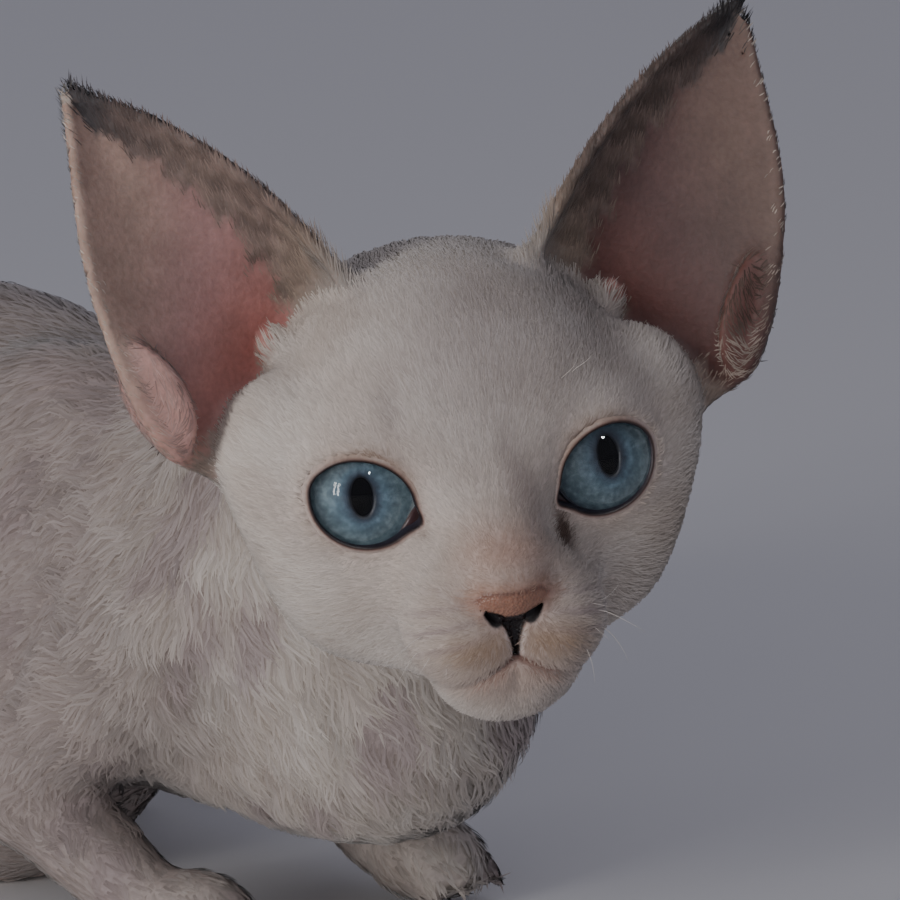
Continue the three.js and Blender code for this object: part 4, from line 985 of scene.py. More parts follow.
head_length = 1.0 + 2.0 * smooth_step(np.minimum(nose_gone, lid_gone), 0, 9)
head_length += 1.6 * smooth_step(h[1], 0, 20)
for middle, reach, longer in LONGER_HAIR:
    head_length += longer * patch(hq, middle, reach)
base_fringe = (1 - smooth_step(up, 0.30, 0.40)) * ear_inner
ear_length = 2.3 - 0.3 * up + 1.5 * smooth_step(up, 0.86, 0.97) + 2.6 * base_fringe
ear_length *= 1 - 0.5 * smooth_step(across, 0.86, 0.95)
ear_length = ear_length * (1 - pocket) + POCKET_HAIR * pocket
head_length = head_length * (1 - on_ear) + ear_length * on_ear
body_length = TRUNK_HAIR + CHEST_EXTRA * chest - 0.8 * (1 - smooth_step(p[2], 24, 46))
body_length = body_length * (1 - low) + LEG_HAIR * low
body_length = body_length * (1 - on_tail) + TAIL_HAIR * on_tail
hair_length = head_length * on_head + body_length * off_head
hair_length += 5.5 * on_head * off_head * (1 - on_ear)

# How much hair there is: none on the nose's leather, in the nostrils, on the lids and underneath
NOSE_LEATHER = [(-5.5, -13.7), (-4.2, -12.4), (4.2, -12.4), (5.5, -13.7), (2.3, -16.3), (0, -17.2),
                (-2.3, -16.3)]
ahead_of_nose = (h[1] < -13.5) & (np.abs(h[0]) < 8)
in_leather = np.full(len(hide_places), 9.0)
for (x0, z0), (x1, z1) in zip(NOSE_LEATHER, NOSE_LEATHER[1:] + NOSE_LEATHER[:1]):
    edge = math.hypot(x1 - x0, z1 - z0)
    in_leather = np.minimum(in_leather, ((h[0] - x0) * (z1 - z0) - (h[2] - z0) * (x1 - x0)) / edge)
in_leather = np.where(ahead_of_nose, in_leather, -9)
groove = np.abs(h[0]) - groove_half_width(h[2])
groove = np.where(ahead_of_nose & (h[2] > -22.9) & (h[2] < -16), groove, 9)
nostril = limb(hq, *NOSTRIL)
hair_amount = smooth_step(lid_gone, 0.0, 0.4) * smooth_step(-in_leather, -0.4, 0.8)
hair_amount *= smooth_step(np.minimum(groove, nostril), 0.2, 0.9)
hair_amount *= p[2] >= 1.2

# Ears: bare inside but for a band along the inner edge and a fringe at the base
BAND_UP, BAND_EDGE = ([0, 0.30, 0.43, 0.57, 0.75, 0.88, 0.95, 1],
                      [0.70, 0.44, 0.33, 0.25, 0.27, 0.44, 0.75, 1.1])
ragged = 0.03 * np.sin(up * 61) + 0.02 * np.sin(up * 137 + 1)
band = 1 - smooth_step(across - np.interp(up, BAND_UP, BAND_EDGE) + ragged, -0.07, 0.06)
fringe_edge = 0.335 + 0.02 * np.sin(across * 43) + 0.012 * np.sin(across * 91)
fringe = 1 - smooth_step(up - fringe_edge, -0.03, 0.03)
inner_hair = np.maximum(band, fringe)
inner_hair = np.maximum(inner_hair, 0.16 * smooth_step(across, 0.93, 0.98))
left_side = h[0] > 0
inner_hair = inner_hair * (1 - pocket) + np.where(left_side, 0.85, 0.7) * pocket
inner_hair *= 1 - knob
bare = on_ear * ear_inner
hair_amount *= 1 - bare + bare * inner_hair

# The body's colours, with painted shade: the trunk's hair darker than the head's and greyer towards the
# rump, and the curls painted paler on their crests and darker between them
CREAM, IVORY = tone(208, 199, 191), tone(219, 212, 205)
MAUVE_HAIR, PAINTED_BACK_SHADE = tone(178, 164, 165), tone(166, 153, 151)
SKIN_PALE, SKIN_MAUVE = tone(208, 195, 188), tone(176, 162, 163)
CURL_LENGTH = 8.5
blotch = cloudy(hide_places, 34, 3) * cloudy(hide_places, 15, 5)
body_blotch = off_head * smooth_step(blotch, 0.28, 0.72)
hide_colour = mix_in(SKIN_PALE, SKIN_MAUVE, 0.8 * smooth_step(blotch, 0.2, 0.7))
# painted shade: the trunk's hair turns greyer from the chest back towards the rump
coat_colour = washed(CREAM, [
    (IVORY, cloudy(hide_places, 11, 8)), (MAUVE_HAIR, 0.75 * body_blotch),
    (PAINTED_BACK_SHADE, 0.75 * off_head * smooth_step(p[1], -25, 30))])
# painted shade: all hair off the head is a quarter darker than the head's
coat_colour *= (1 - 0.24 * off_head)[:, None]
drift = 9 * cloudy(hide_places, 26, 41) + 4 * cloudy(hide_places, 9, 42)
curls = 0.5 + 0.5 * np.sin(2 * np.pi * (lie * hide_places).sum(1) / CURL_LENGTH + drift)
curls = curls * smooth_step(cloudy(hide_places, 17, 43), 0.2, 0.7)
# painted shade between the curls, and a little painted light on their crests
coat_colour *= (1.05 - 0.26 * curls * off_head - 0.05 * curls * on_head)[:, None]
hair_length *= 1 + 0.3 * off_head * (0.5 - curls)
hair_amount *= 1 - 0.15 * body_blotch

# The ears' hair: fawn at the root, smoky over the middle, sooty at the tip, flecked; on the left ear,
# away from the lamps, painted shade darkens it above the root; the lobe on the lit side is pink, the one
# in shade dark in its depth
SMOKE, SOOT, FAWN, EAR_BROWN = (
    tone(146, 128, 120), tone(84, 80, 82), tone(178, 160, 146), tone(112, 98, 94))
EDGE_HAIR, OUTER_HAIR, LOBE_HAIR = tone(222, 210, 198), tone(188, 170, 158), tone(192, 160, 154)
POCKET_ROOT, POCKET_TIP = tone(116, 96, 88), tone(206, 192, 180)
ear_coat = washed(CREAM, [
    (FAWN, smooth_step(up, 0.26, 0.36)), (SMOKE, smooth_step(up, 0.33, 0.48)),
    (EAR_BROWN, smooth_step(up, 0.62, 0.86)), (SOOT, smooth_step(up, 0.84, 0.93)),
    (EDGE_HAIR, smooth_step(across, 0.9, 0.97) * ear_inner),
    (OUTER_HAIR, smooth_step(across, 0.6, 0.85) * (1 - smooth_step(up, 0.55, 0.75))),
    (mix_in(POCKET_ROOT, POCKET_TIP, smooth_step(17 - h[2], 0, 7)), pocket * left_side),
    (LOBE_HAIR, pocket * (1 - left_side))])
flecks = cloudy(hide_places, 3.2, 21)
ear_coat = ear_coat * (0.67 + 0.46 * flecks * smooth_step(up, 0.25, 0.45))[:, None]
# painted shade: the left ear's hair darker from a little above its root
ear_coat = ear_coat * (1 - 0.3 * (left_side * smooth_step(up, 0.3, 0.45)))[:, None]
coat_colour = mix_in(coat_colour, ear_coat, on_ear)

# The ears' bare inside: tan and mauve, brick red in its depth, and the left one in shade
BRICK, EAR_TAN, EAR_MAUVE = tone(176, 112, 104), tone(184, 155, 142), tone(184, 144, 140)
EAR_PINK, EAR_EDGE, KNOB_PINK = tone(190, 138, 132), tone(204, 180, 164), tone(196, 146, 138)
POCKET_DARK, POCKET_PINK = tone(110, 76, 70), tone(196, 156, 148)
deep = np.exp(-((across - 0.60) / 0.24) ** 2 - ((up - 0.35) / 0.13) ** 2)
in_shade = (0.28 + 0.14 * smooth_step(up, 0.55, 0.8))[:, None] * (1.0, 0.92, 0.92)
on_left = left_side[:, None]
inside = washed(EAR_TAN, [
    (EAR_MAUVE, 1 - smooth_step(up + 0.2 * (across - 0.5), 0.55, 0.8)),
    (EAR_PINK, 1 - smooth_step(up, 0.44, 0.6))])
inside = washed(inside * 0.8, [
    (BRICK, 1.15 * deep),
    (EAR_EDGE, np.where(left_side, 0.25, 0.4) * smooth_step(across, 0.92, 0.99))])
inside = washed(inside * np.where(on_left, in_shade, 1.0), [
    (KNOB_PINK, knob), (np.where(on_left, POCKET_DARK, POCKET_PINK), 0.9 * pocket),
    (ear_coat * 0.8, np.maximum(band, fringe) * (1 - pocket))])
ear_hide = np.where(ear_inner[:, None] > 0.5, inside, ear_coat * 0.7)
hide_colour = mix_in(hide_colour, ear_hide, on_ear)

# The face: a greyer forehead with smoky smudges, and tear marks at the inner corners
MUZZLE_HAIR, FOREHEAD_HAIR = tone(164, 143, 132), tone(176, 168, 167)
SMUDGE_HAIR, SMUDGE_SKIN = tone(128, 116, 116), tone(120, 106, 110)
TEAR_HAIR, TEAR_SKIN = tone(62, 42, 36), tone(92, 60, 52)
SMUDGES = [  # middle, reach, stretch, strength
    ((4.6, -11.5, -1), 2.6, (1, 1, 2.2), 0.30), ((2.6, -11, 5), 2.2, (0.8, 1, 2.2), 0.18),
    ((-12.8, -7, 12.5), 2.6, (0.8, 1, 1.5), 0.20), ((1.4, 0, 25), 4.5, (1.2, 1, 0.8), 0.10),
    ((13, -7, 13), 2.6, (1, 1, 1), 0.08), ((24, -2, 12), 6, (1, 1, 1), 0.08)]
face = on_head * (1 - on_ear)
coat_colour = washed(coat_colour, [
    (MUZZLE_HAIR, 0.9 * patch(h, (0, -15, -19), 9.5, (1.3, 1, 1))),
    (FOREHEAD_HAIR, 0.7 * patch(h, (0, -4, 17), 15) * face)])
for middle, reach, stretch, strength in SMUDGES:
    spot = patch(h, middle, reach, stretch) * face
    coat_colour = mix_in(coat_colour, SMUDGE_HAIR, strength * 1.9 * spot)
    hide_colour = mix_in(hide_colour, SMUDGE_SKIN, strength * 2.6 * spot)
tear = patch(h, (9.8, -9, -8.6), 2.3, (0.6, 1, 1.8)) + 0.35 * patch(h, (-9.2, -7.6, -6.0), 1.6)

# A peach bridge, tan and mauve-striped whisker pads, pinkish lips, brown hair on the upper lids, and
# painted warm shade on the left cheek
BRIDGE_HAIR, BRIDGE_SKIN = tone(177, 146, 131), tone(192, 156, 140)
LEATHER_EDGE_HAIR, LEATHER_EDGE_SKIN = tone(170, 130, 110), tone(164, 124, 106)
STAIN_HAIR, STRIPE_HAIR, STRIPE_SKIN = tone(160, 130, 100), tone(150, 134, 138), tone(140, 122, 126)
LIP_HAIR, LIP_SKIN = tone(214, 190, 178), tone(190, 156, 146)
MOUTH_HAIR, MOUTH_SKIN = tone(146, 112, 100), tone(112, 78, 70)
LID_HAIR, LID_SKIN, SOCKET_SKIN = tone(196, 172, 156), tone(190, 166, 154), tone(76, 50, 54)
BROW_HAIR, WARM_CHEEK_SHADE = tone(122, 94, 72), tone(206, 188, 166)
bridge = patch(h, (0, -16, -8.0), 5.2, (1.25, 1, 0.9))
hair_length = hair_length * (1 - 0.45 * np.clip(bridge, 0, 1))
near_leather = smooth_step(in_leather, -2.6, 0)
stain = patch(hq, (6.5, -17.5, -20.5), 3.2, (1, 1, 0.7)) + 0.6 * patch(hq, (3.2, -18, -20), 2.0)
pads = patch(hq, (10, -15.5, -18), 5.0, (1, 1, 0.8))
stripes = smooth_step(np.sin((h[2] + 0.25 * hq[0]) * 2.4), 0.1, 0.9)
lips = patch(hq, (3, -15, -25.5), 3.6, (1.6, 1, 0.7))
mouth = np.where(h[1] < MUZZLE_BACK, line_gap(h, MOUTH_LINE), 9) + 1.2 * smooth_step(np.abs(h[0]), 4.5, 8)
hair_amount *= smooth_step(mouth, -0.2, 0.5)
past_edge = np.maximum(lid_gone, 0)
lid_skin = np.exp(-past_edge / 1.6) * (ahead_eye > 0) * face
brow = np.exp(-((rise_eye - 7) / 3.0) ** 2 - ((across_eye + 0.5) / 5.5) ** 2 - (past_edge / 1.3) ** 2)
# painted shade: the left cheek, away from the lamps, turns warmer and yellower
coat_colour = washed(coat_colour, [
    (TEAR_HAIR, 1.5 * tear), (BRIDGE_HAIR, 0.95 * bridge), (LEATHER_EDGE_HAIR, 0.75 * near_leather),
    (STAIN_HAIR, 0.7 * stain), (STRIPE_HAIR, 0.55 * pads * stripes), (LIP_HAIR, 0.5 * lips),
    (MOUTH_HAIR, 0.7 * (1 - smooth_step(mouth, 0.2, 1.1))), (LID_HAIR, 0.5 * lid_skin),
    (BROW_HAIR, 0.9 * brow * (ahead_eye > 0) * face),
    (WARM_CHEEK_SHADE, 0.45 * patch(h, (30, 6, -14), 12))])
hide_colour = washed(hide_colour, [
    (TEAR_SKIN, tear), (BRIDGE_SKIN, bridge), (LEATHER_EDGE_SKIN, 0.75 * near_leather),
    (STRIPE_SKIN, 0.8 * pads * stripes), (LIP_SKIN, 0.8 * lips),
    (MOUTH_SKIN, 1 - smooth_step(mouth, 0.2, 0.8)), (LID_SKIN, 0.8 * lid_skin),
    (SOCKET_SKIN, 1 - smooth_step(lid_gone, 0.1, 0.5))])

# The bare nose: peach-pink leather with a thin dark upper edge, and painted shade, near black, in the
# nostrils and the groove
LEATHER, LEATHER_RIM = tone(160, 120, 102), tone(96, 62, 54)
NOSTRIL_SHADE, GROOVE_SHADE = tone(26, 18, 20), tone(30, 22, 24)
leather = smooth_step(in_leather, -0.5, 0.25)
upper_edge = np.exp(-((in_leather - 0.15) / 0.32) ** 2) * smooth_step(h[2], -14.6, -13.2)
# painted shade: the nostrils and the groove near black, as recesses in shade
hide_colour = washed(hide_colour, [
    (LEATHER, leather), (LEATHER_RIM, 0.6 * upper_edge * (leather > 0.05)),
    (NOSTRIL_SHADE, 1 - smooth_step(nostril, 0.1, 0.55)),
    (GROOVE_SHADE, 1 - smooth_step(groove, -0.1, 0.35))])
wet = np.maximum(leather, 1 - smooth_step(groove, 0, 0.4))

# Under the coat the skin has the coat's own markings, a little deeper
under_coat = np.clip(hair_amount, 0, 1) * (1 - on_ear)
hide_colour = mix_in(hide_colour, coat_colour * 0.92, 0.85 * under_coat)

full = np.ones((len(hide_places), 1))
for name, kind, values in (
        ("lie", "FLOAT_VECTOR", lie), ("hair_length", "FLOAT", hair_length * MM),
        ("wet", "FLOAT", wet), ("hair_amount", "FLOAT", np.clip(hair_amount, 0, 1)),
        ("hide_colour", "FLOAT_COLOR", np.hstack([hide_colour, full])),
        ("coat_colour", "FLOAT_COLOR", np.hstack([coat_colour, full]))):
    with_attribute(skin, name, kind, values)

# Unwrapped by its own shape, so that every hair knows its place on the hide
bpy.context.view_layer.objects.active = skin
skin.select_set(True)
skin.data.uv_layers.new(name="OFBake")
bpy.ops.object.mode_set(mode="EDIT")
bpy.ops.mesh.select_all(action="SELECT")
bpy.ops.uv.smart_project(angle_limit=math.radians(66), island_margin=0.0)
bpy.ops.object.mode_set(mode="OBJECT")
skin.select_set(False)


def hide_finish(name, light_under_skin):
    """Pale skin, mauve where it shows through, with a fine grain; the nose's leather is pebbled."""
    material, shader = new_finish(name, tuple(SKIN_PALE), 0.62)
    tree = material.node_tree
    wet = own(tree, "wet")
    fine = noise(tree, object_place(tree), 1100, 4)
    slow = noise(tree, object_place(tree), 160, 3)
    pebbles = node(tree, "ShaderNodeTexVoronoi", {"Vector": object_place(tree), "Scale": 2400})
    mottling = ramp(tree, slow, [(0.3, (0.84, 0.81, 0.80)), (0.7, (1.08, 1.05, 1.04))])
    grain = ramp(tree, fine, [(0.3, (0.86, 0.84, 0.83)), (0.7, (1.06, 1.05, 1.05))])
    mottled = multiplied(tree, own(tree, "hide_colour", "Color"), mottling)
    tree.links.new(multiplied(tree, mottled, grain), shader.inputs["Base Color"])
    height = node(tree, "ShaderNodeMix", {0: wet, 2: fine, 3: pebbles.outputs["Distance"]},
                  data_type="FLOAT").outputs[0]
    roughened(tree, shader, height, 0.45, 0.0003)
    gloss = node(tree, "ShaderNodeMapRange", {0: wet, 3: 0.62, 4: 0.36}).outputs[0]
    tree.links.new(gloss, shader.inputs["Roughness"])
    shader.inputs["Subsurface Weight"].default_value = light_under_skin
    shader.inputs["Subsurface Radius"].default_value = (0.0012, 0.0005, 0.0003)
    shader.inputs["Subsurface Scale"].default_value = 1.0
    return material


skin.data.materials.append(hide_finish("bare_hide", 0.0))
skin.data.materials.append(hide_finish("ear_and_nose_skin", 0.25))
thin_skin = np.maximum(on_ear * ear_inner, wet)[hide_quads].max(1) > 0.5
skin.data.polygons.foreach_set("material_index", thin_skin.astype(np.int32))

# Coat: tufts of fine hair rooted on the hide, grown part by part.
# Each tuft is a thin closed spike of three sides. It leans along its lie, bends with the body,
# swings in a soft wave and closes up with its neighbours into a lock.


def named(tree, name, kind="FLOAT"):
    """A value that the hide or the tufts keep under a name."""
    return node(tree, "GeometryNodeInputNamedAttribute", {"Name": name}, data_type=kind).outputs[0]


def kept(tree, geometry, name, kind, value, domain="POINT"):
    """The geometry with a value kept on it."""
    return node(tree, "GeometryNodeStoreNamedAttribute", {
        "Geometry": geometry, "Name": name, "Value": value}, data_type=kind, domain=domain).outputs[0]


def maths(tree, operation, *values):
    return node(tree, "ShaderNodeMath", dict(enumerate(values)), operation=operation).outputs[0]


def vector_maths(tree, operation, *values):
    keys = (0, "Scale") if operation == "SCALE" else range(len(values))
    made = node(tree, "ShaderNodeVectorMath", dict(zip(keys, values)), operation=operation)
    return made.outputs["Value" if operation == "DOT_PRODUCT" else "Vector"]


def vector_of(tree, *parts):
    """A vector from its x, y and z."""
    return node(tree, "ShaderNodeCombineXYZ", dict(enumerate(parts))).outputs[0]


def chance(tree, low, high, seed):
    """A random value for each tuft."""
    return node(tree, "FunctionNodeRandomValue", {2: low, 3: high, "Seed": seed},
                data_type="FLOAT").outputs[1]


UV_PATCH = 0.003  # how large each tuft is on the skin's unwrapping


def coat_tree():
    """The rule for one part of the coat, and the names of its inputs' sockets."""
    tree = bpy.data.node_groups.new("tufts_of_coat", "GeometryNodeTree")
    sockets = {}
    for name, kind, value in (
            ("Hide", "NodeSocketGeometry", None), ("Region", "NodeSocketInt", 0),
            ("Tufts per square metre", "NodeSocketFloat", 1e5), ("Root width", "NodeSocketFloat", 3e-4),
            ("Flatness", "NodeSocketFloat", 0.6), ("Segments", "NodeSocketInt", 2),
            ("Rise", "NodeSocketFloat", 0.3), ("Droop", "NodeSocketFloat", 0.75),
            ("Body roundness", "NodeSocketFloat", 0.03), ("Wave", "NodeSocketFloat", 2e-4),
            ("Turns of wave", "NodeSocketFloat", 1.2), ("Lock size", "NodeSocketFloat", 3e-3),
            ("Lock closes", "NodeSocketFloat", 0.3), ("Stray", "NodeSocketFloat", 0.15),
            ("Seed", "NodeSocketInt", 1), ("Finish", "NodeSocketMaterial", None)):
        made = tree.interface.new_socket(name, in_out="INPUT", socket_type=kind)
        if value is not None:
            made.default_value = value
        sockets[name] = made.identifier
    tree.interface.new_socket("Tufts", in_out="OUTPUT", socket_type="NodeSocketGeometry")
    given = node(tree, "NodeGroupInput").outputs

    here = node(tree, "FunctionNodeCompare", {2: named(tree, "region", "INT"), 3: given["Region"]},
                data_type="INT", operation="EQUAL").outputs[0]
    part = node(tree, "GeometryNodeSeparateGeometry", {0: given["Hide"], 1: here},
                domain="FACE").outputs[0]
    density = maths(tree, "MULTIPLY", named(tree, "hair_amount"), given["Tufts per square metre"])
    spread = node(tree, "GeometryNodeDistributePointsOnFaces", {
        "Mesh": part, "Density": density, "Seed": given["Seed"]})
    guides = node(tree, "GeometryNodeDistributePointsOnFaces", {
        "Mesh": part, "Distance Min": given["Lock size"], "Density Max": 1e6, "Seed": given["Seed"]},
        distribute_method="POISSON")
    points = spread.outputs["Points"]
    out = spread.outputs["Normal"]
    root = node(tree, "GeometryNodeInputPosition").outputs[0]
    nearest = node(tree, "GeometryNodeSampleNearest", {
        "Geometry": guides.outputs["Points"], "Sample Position": root}).outputs[0]
    middle = node(tree, "GeometryNodeSampleIndex", {
        "Geometry": guides.outputs["Points"],
        "Index": nearest}, data_type="FLOAT_VECTOR", domain="POINT")
    tree.links.new(node(tree, "GeometryNodeInputPosition").outputs[0], middle.inputs["Value"])
    pull = vector_maths(tree, "SUBTRACT", middle.outputs[0], root)
    pull = vector_maths(tree, "SUBTRACT", pull, vector_maths(
        tree, "SCALE", out, vector_maths(tree, "DOT_PRODUCT", pull, out)))

    lie = named(tree, "lie", "FLOAT_VECTOR")
    side = vector_maths(tree, "CROSS_PRODUCT", out, lie)
    stray = chance(tree, -1, 1, 11)
    lean = vector_maths(tree, "ADD", lie, vector_maths(
        tree, "SCALE", side, maths(tree, "MULTIPLY", stray, given["Stray"])))
    rise = maths(tree, "MULTIPLY", given["Rise"], chance(tree, 0.3, 1.8, 12))
    heading = vector_maths(tree, "NORMALIZE", vector_maths(
        tree, "ADD", lean, vector_maths(tree, "SCALE", out, rise)))
    long = maths(tree, "MULTIPLY", named(tree, "hair_length"), chance(tree, 0.7, 1.15, 13))
    # Neighbours in a lock swing together: the phase comes from the lock's own place
    swing = node(tree, "ShaderNodeTexWhiteNoise", {"Vector": middle.outputs[0]},
                 noise_dimensions="3D").outputs["Value"]
    phase = maths(tree, "ADD", maths(tree, "MULTIPLY", swing, 2 * math.pi), chance(tree, -0.5, 0.5, 14))
    tint = chance(tree, 0, 1, 15)
    roots = kept(tree, points, "out", "FLOAT_VECTOR", out)
    for name, kind, value in (
            ("root_uv", "FLOAT_VECTOR", named(tree, "OFBake", "FLOAT_VECTOR")),
            ("pull", "FLOAT_VECTOR", pull), ("side", "FLOAT_VECTOR", side), ("long", "FLOAT", long),
            ("rise", "FLOAT", rise), ("phase", "FLOAT", phase), ("tint", "FLOAT", tint)):
        roots = kept(tree, roots, name, kind, value)

    spike = node(tree, "GeometryNodeMeshCone", {
        "Vertices": 3, "Side Segments": given["Segments"], "Fill Segments": 1, "Radius Top": 0.0,
        "Radius Bottom": 1.0, "Depth": 1.0}, fill_type="NGON").outputs["Mesh"]
    spike = node(tree, "GeometryNodeTransform", {
        "Geometry": spike, "Rotation": (0.0, 0.0, math.radians(30))}).outputs[0]
    place = node(tree, "ShaderNodeSeparateXYZ", {
        0: node(tree, "GeometryNodeInputPosition").outputs[0]})
    fuller = maths(tree, "MULTIPLY_ADD", place.outputs["Z"], 2.0, 0.6)
    spike = kept(tree, spike, "along", "FLOAT", place.outputs["Z"])
    spike = kept(tree, spike, "strand", "FLOAT", place.outputs["X"])
    spike = kept(tree, spike, "tuft_uv", "FLOAT_VECTOR", vector_of(
        tree, maths(tree, "MULTIPLY", place.outputs["X"], 0.3), place.outputs["Z"]))
    spike = node(tree, "GeometryNodeSetPosition", {"Geometry": spike, "Position": vector_of(
        tree, maths(tree, "MULTIPLY", place.outputs["X"], fuller),
        maths(tree, "MULTIPLY", place.outputs["Y"], fuller), place.outputs["Z"])}).outputs[0]
    turned = node(tree, "FunctionNodeAxesToRotation", {0: heading, 1: side},
                  primary_axis="Z", secondary_axis="X").outputs[0]
    thick = maths(tree, "MULTIPLY", given["Root width"], chance(tree, 0.35, 0.65, 16))
    size = vector_of(tree, thick, maths(tree, "MULTIPLY", thick, given["Flatness"]), long)
    tufts = node(tree, "GeometryNodeInstanceOnPoints", {
        "Points": roots, "Instance": spike, "Rotation": turned, "Scale": size}).outputs[0]
    tufts = node(tree, "GeometryNodeRealizeInstances", {0: tufts}).outputs[0]

    along = named(tree, "along")
    square = maths(tree, "MULTIPLY", along, along)
    reach = named(tree, "long")
    drop = maths(tree, "MULTIPLY", maths(tree, "MULTIPLY", square, reach),
                 maths(tree, "MULTIPLY", named(tree, "rise"), given["Droop"]))
    gone = maths(tree, "MULTIPLY", along, reach)
    round_off = maths(tree, "DIVIDE", maths(tree, "MULTIPLY", gone, gone),
                      maths(tree, "MULTIPLY", given["Body roundness"], 2.0))
    sink = maths(tree, "MULTIPLY", maths(tree, "ADD", drop, round_off), -1.0)
    turns = maths(tree, "MULTIPLY", given["Turns of wave"], 2 * math.pi)
    angle = maths(tree, "MULTIPLY_ADD", along, turns, named(tree, "phase"))
    start = maths(tree, "SINE", named(tree, "phase"))
    swung = maths(tree, "MULTIPLY", maths(tree, "SUBTRACT", maths(tree, "SINE", angle), start),
                  given["Wave"])
    lifted = maths(tree, "MULTIPLY_ADD", maths(tree, "MULTIPLY", maths(tree, "ADD", maths(
        tree, "COSINE", angle), 1.0), along), maths(tree, "MULTIPLY", given["Wave"], 0.4), sink)
    closing = maths(tree, "MULTIPLY", maths(tree, "POWER", along, 1.3), given["Lock closes"])
    moved = (0.0, 0.0, 0.0)
    for way, share in (("out", lifted), ("side", swung), ("pull", closing)):
        step = vector_maths(tree, "SCALE", named(tree, way, "FLOAT_VECTOR"), share)
        moved = vector_maths(tree, "ADD", moved, step)
    tufts = node(tree, "GeometryNodeSetPosition", {"Geometry": tufts, "Offset": moved}).outputs[0]
    patch_uv = vector_maths(tree, "ADD", named(tree, "root_uv", "FLOAT_VECTOR"), vector_maths(
        tree, "SCALE", named(tree, "tuft_uv", "FLOAT_VECTOR"), UV_PATCH))
    tufts = kept(tree, tufts, "OFBake", "FLOAT2", patch_uv, "CORNER")
    for name in ("root_uv", "pull", "side", "long", "rise", "phase", "tuft_uv", "lie",
                 "hair_length", "hair_amount", "hide_colour", "region"):
        tufts = node(tree, "GeometryNodeRemoveAttribute", {0: tufts, "Name": name}).outputs[0]
    tufts = node(tree, "GeometryNodeSetShadeSmooth", {0: tufts}).outputs[0]
    tufts = node(tree, "GeometryNodeSetMaterial", {0: tufts, "Material": given["Finish"]}).outputs[0]
    node(tree, "NodeGroupOutput", {0: tufts})
    return tree, sockets


def coat_finish(name):
    """Hair of the colour at its root, with painted shade making it deeper where it leaves the skin, and
    paler at its tip.
    """
    material, shader = new_finish(name, tuple(CREAM), 0.55)
    tree = material.node_tree
    along, tint, strand = (own(tree, name) for name in ("along", "tint", "strand"))
    # painted shade down among the hairs, darkest at the root
    depth = ramp(tree, along, [
        (0.0, (0.86, 0.84, 0.83)), (0.45, (0.97, 0.96, 0.96)), (1.0, (1.04, 1.04, 1.03))])
    cast = ramp(tree, tint, [
        (0.0, (0.82, 0.80, 0.79)), (0.5, (0.96, 0.95, 0.94)), (1.0, (1.05, 1.04, 1.04))])
    spread = vector_of(tree, *(maths(tree, "MULTIPLY", value, stretch) for value, stretch in (
        (strand, 4.0), (along, 0.7), (tint, 61.0))))
    strands = noise(tree, spread, 2.0, 2)
    streak = ramp(tree, strands, [(0.35, (0.88, 0.86, 0.85)), (0.62, (1.0, 1.0, 1.0))])
    colour = own(tree, "coat_colour", "Color")
    for shade in (depth, cast, streak):
        colour = multiplied(tree, colour, shade)
    tree.links.new(colour, shader.inputs["Base Color"])
    roughened(tree, shader, strands, 0.4, 0.0002)
    shader.inputs["Sheen Weight"].default_value = 0.25
    shader.inputs["Sheen Roughness"].default_value = 0.4
    shader.inputs["Specular IOR Level"].default_value = 0.15
    return material


# The parts of the coat, each with the solids that it lies over
COAT_OVER = {
    "muzzle": ["head"], "face_left": ["head"], "face_right": ["head"], "crown": ["head"],
    "ears": ["ear_left", "ear_right"], "nape_and_throat": ["head", "neck"],
    "chest_left": ["brisket", "ribs", "upper_arm_left"],
    "chest_right": ["brisket", "ribs", "upper_arm_right"],
    "flank_left": ["ribs", "abdomen", "thigh_left"],
    "flank_right": ["ribs", "abdomen", "thigh_right"],
    "haunches": ["rump", "abdomen", "thigh_left", "thigh_right"],
    "legs": [f"{limb_part}_{side}" for limb_part in ("forearm", "forepaw", "shank", "hindpaw")
             for side in ("left", "right")],
    "tail": [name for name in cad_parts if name.startswith("tail")]}
REGIONS = list(COAT_OVER)


def region_of(middle, on_ear, on_head, on_tail):
    """Which part of the coat each face of the hide belongs to: the last of these that it is in."""
    x, y, z = middle.T
    h = to_head(middle.T)
    head = on_head > 0.35
    number = np.full(len(middle), REGIONS.index("haunches"))
    for region_name, here in (
            ("flank_left", y < 100), ("flank_right", (y < 100) & (x < 0)),
            ("chest_left", y < 30), ("chest_right", (y < 30) & (x < 0)), ("legs", z < 20),
            ("tail", on_tail > 0.5), ("nape_and_throat", head),
            ("crown", head & (h[1] < 26) & (h[2] > -24)),
            ("face_left", head & (h[1] < 12) & (h[0] >= 0)),
            ("face_right", head & (h[1] < 12) & (h[0] < 0)),
            ("muzzle", head & (h[1] < MUZZLE_BACK) & (np.abs(h[0]) < 16) & (h[2] < -4)),
            ("ears", on_ear > 0.5)):
        number[here] = REGIONS.index(region_name)
    return number


def quad_mean(values):
    return values[hide_quads].mean(1)


region = region_of(*(quad_mean(values) for values in (hide_places, on_ear, on_head, on_tail)))
layer = skin.data.attributes.new("region", "INT", "FACE")
layer.data.foreach_set("value", region.astype(np.int32))

coat_nodes, coat_sockets = coat_tree()
hair = coat_finish("curly_coat")
face_areas = np.zeros(len(hide_quads), np.float32)
skin.data.polygons.foreach_get("area", face_areas)
SOFT = 0.94  # how far the hair is lit as the body under it, and not as single hairs


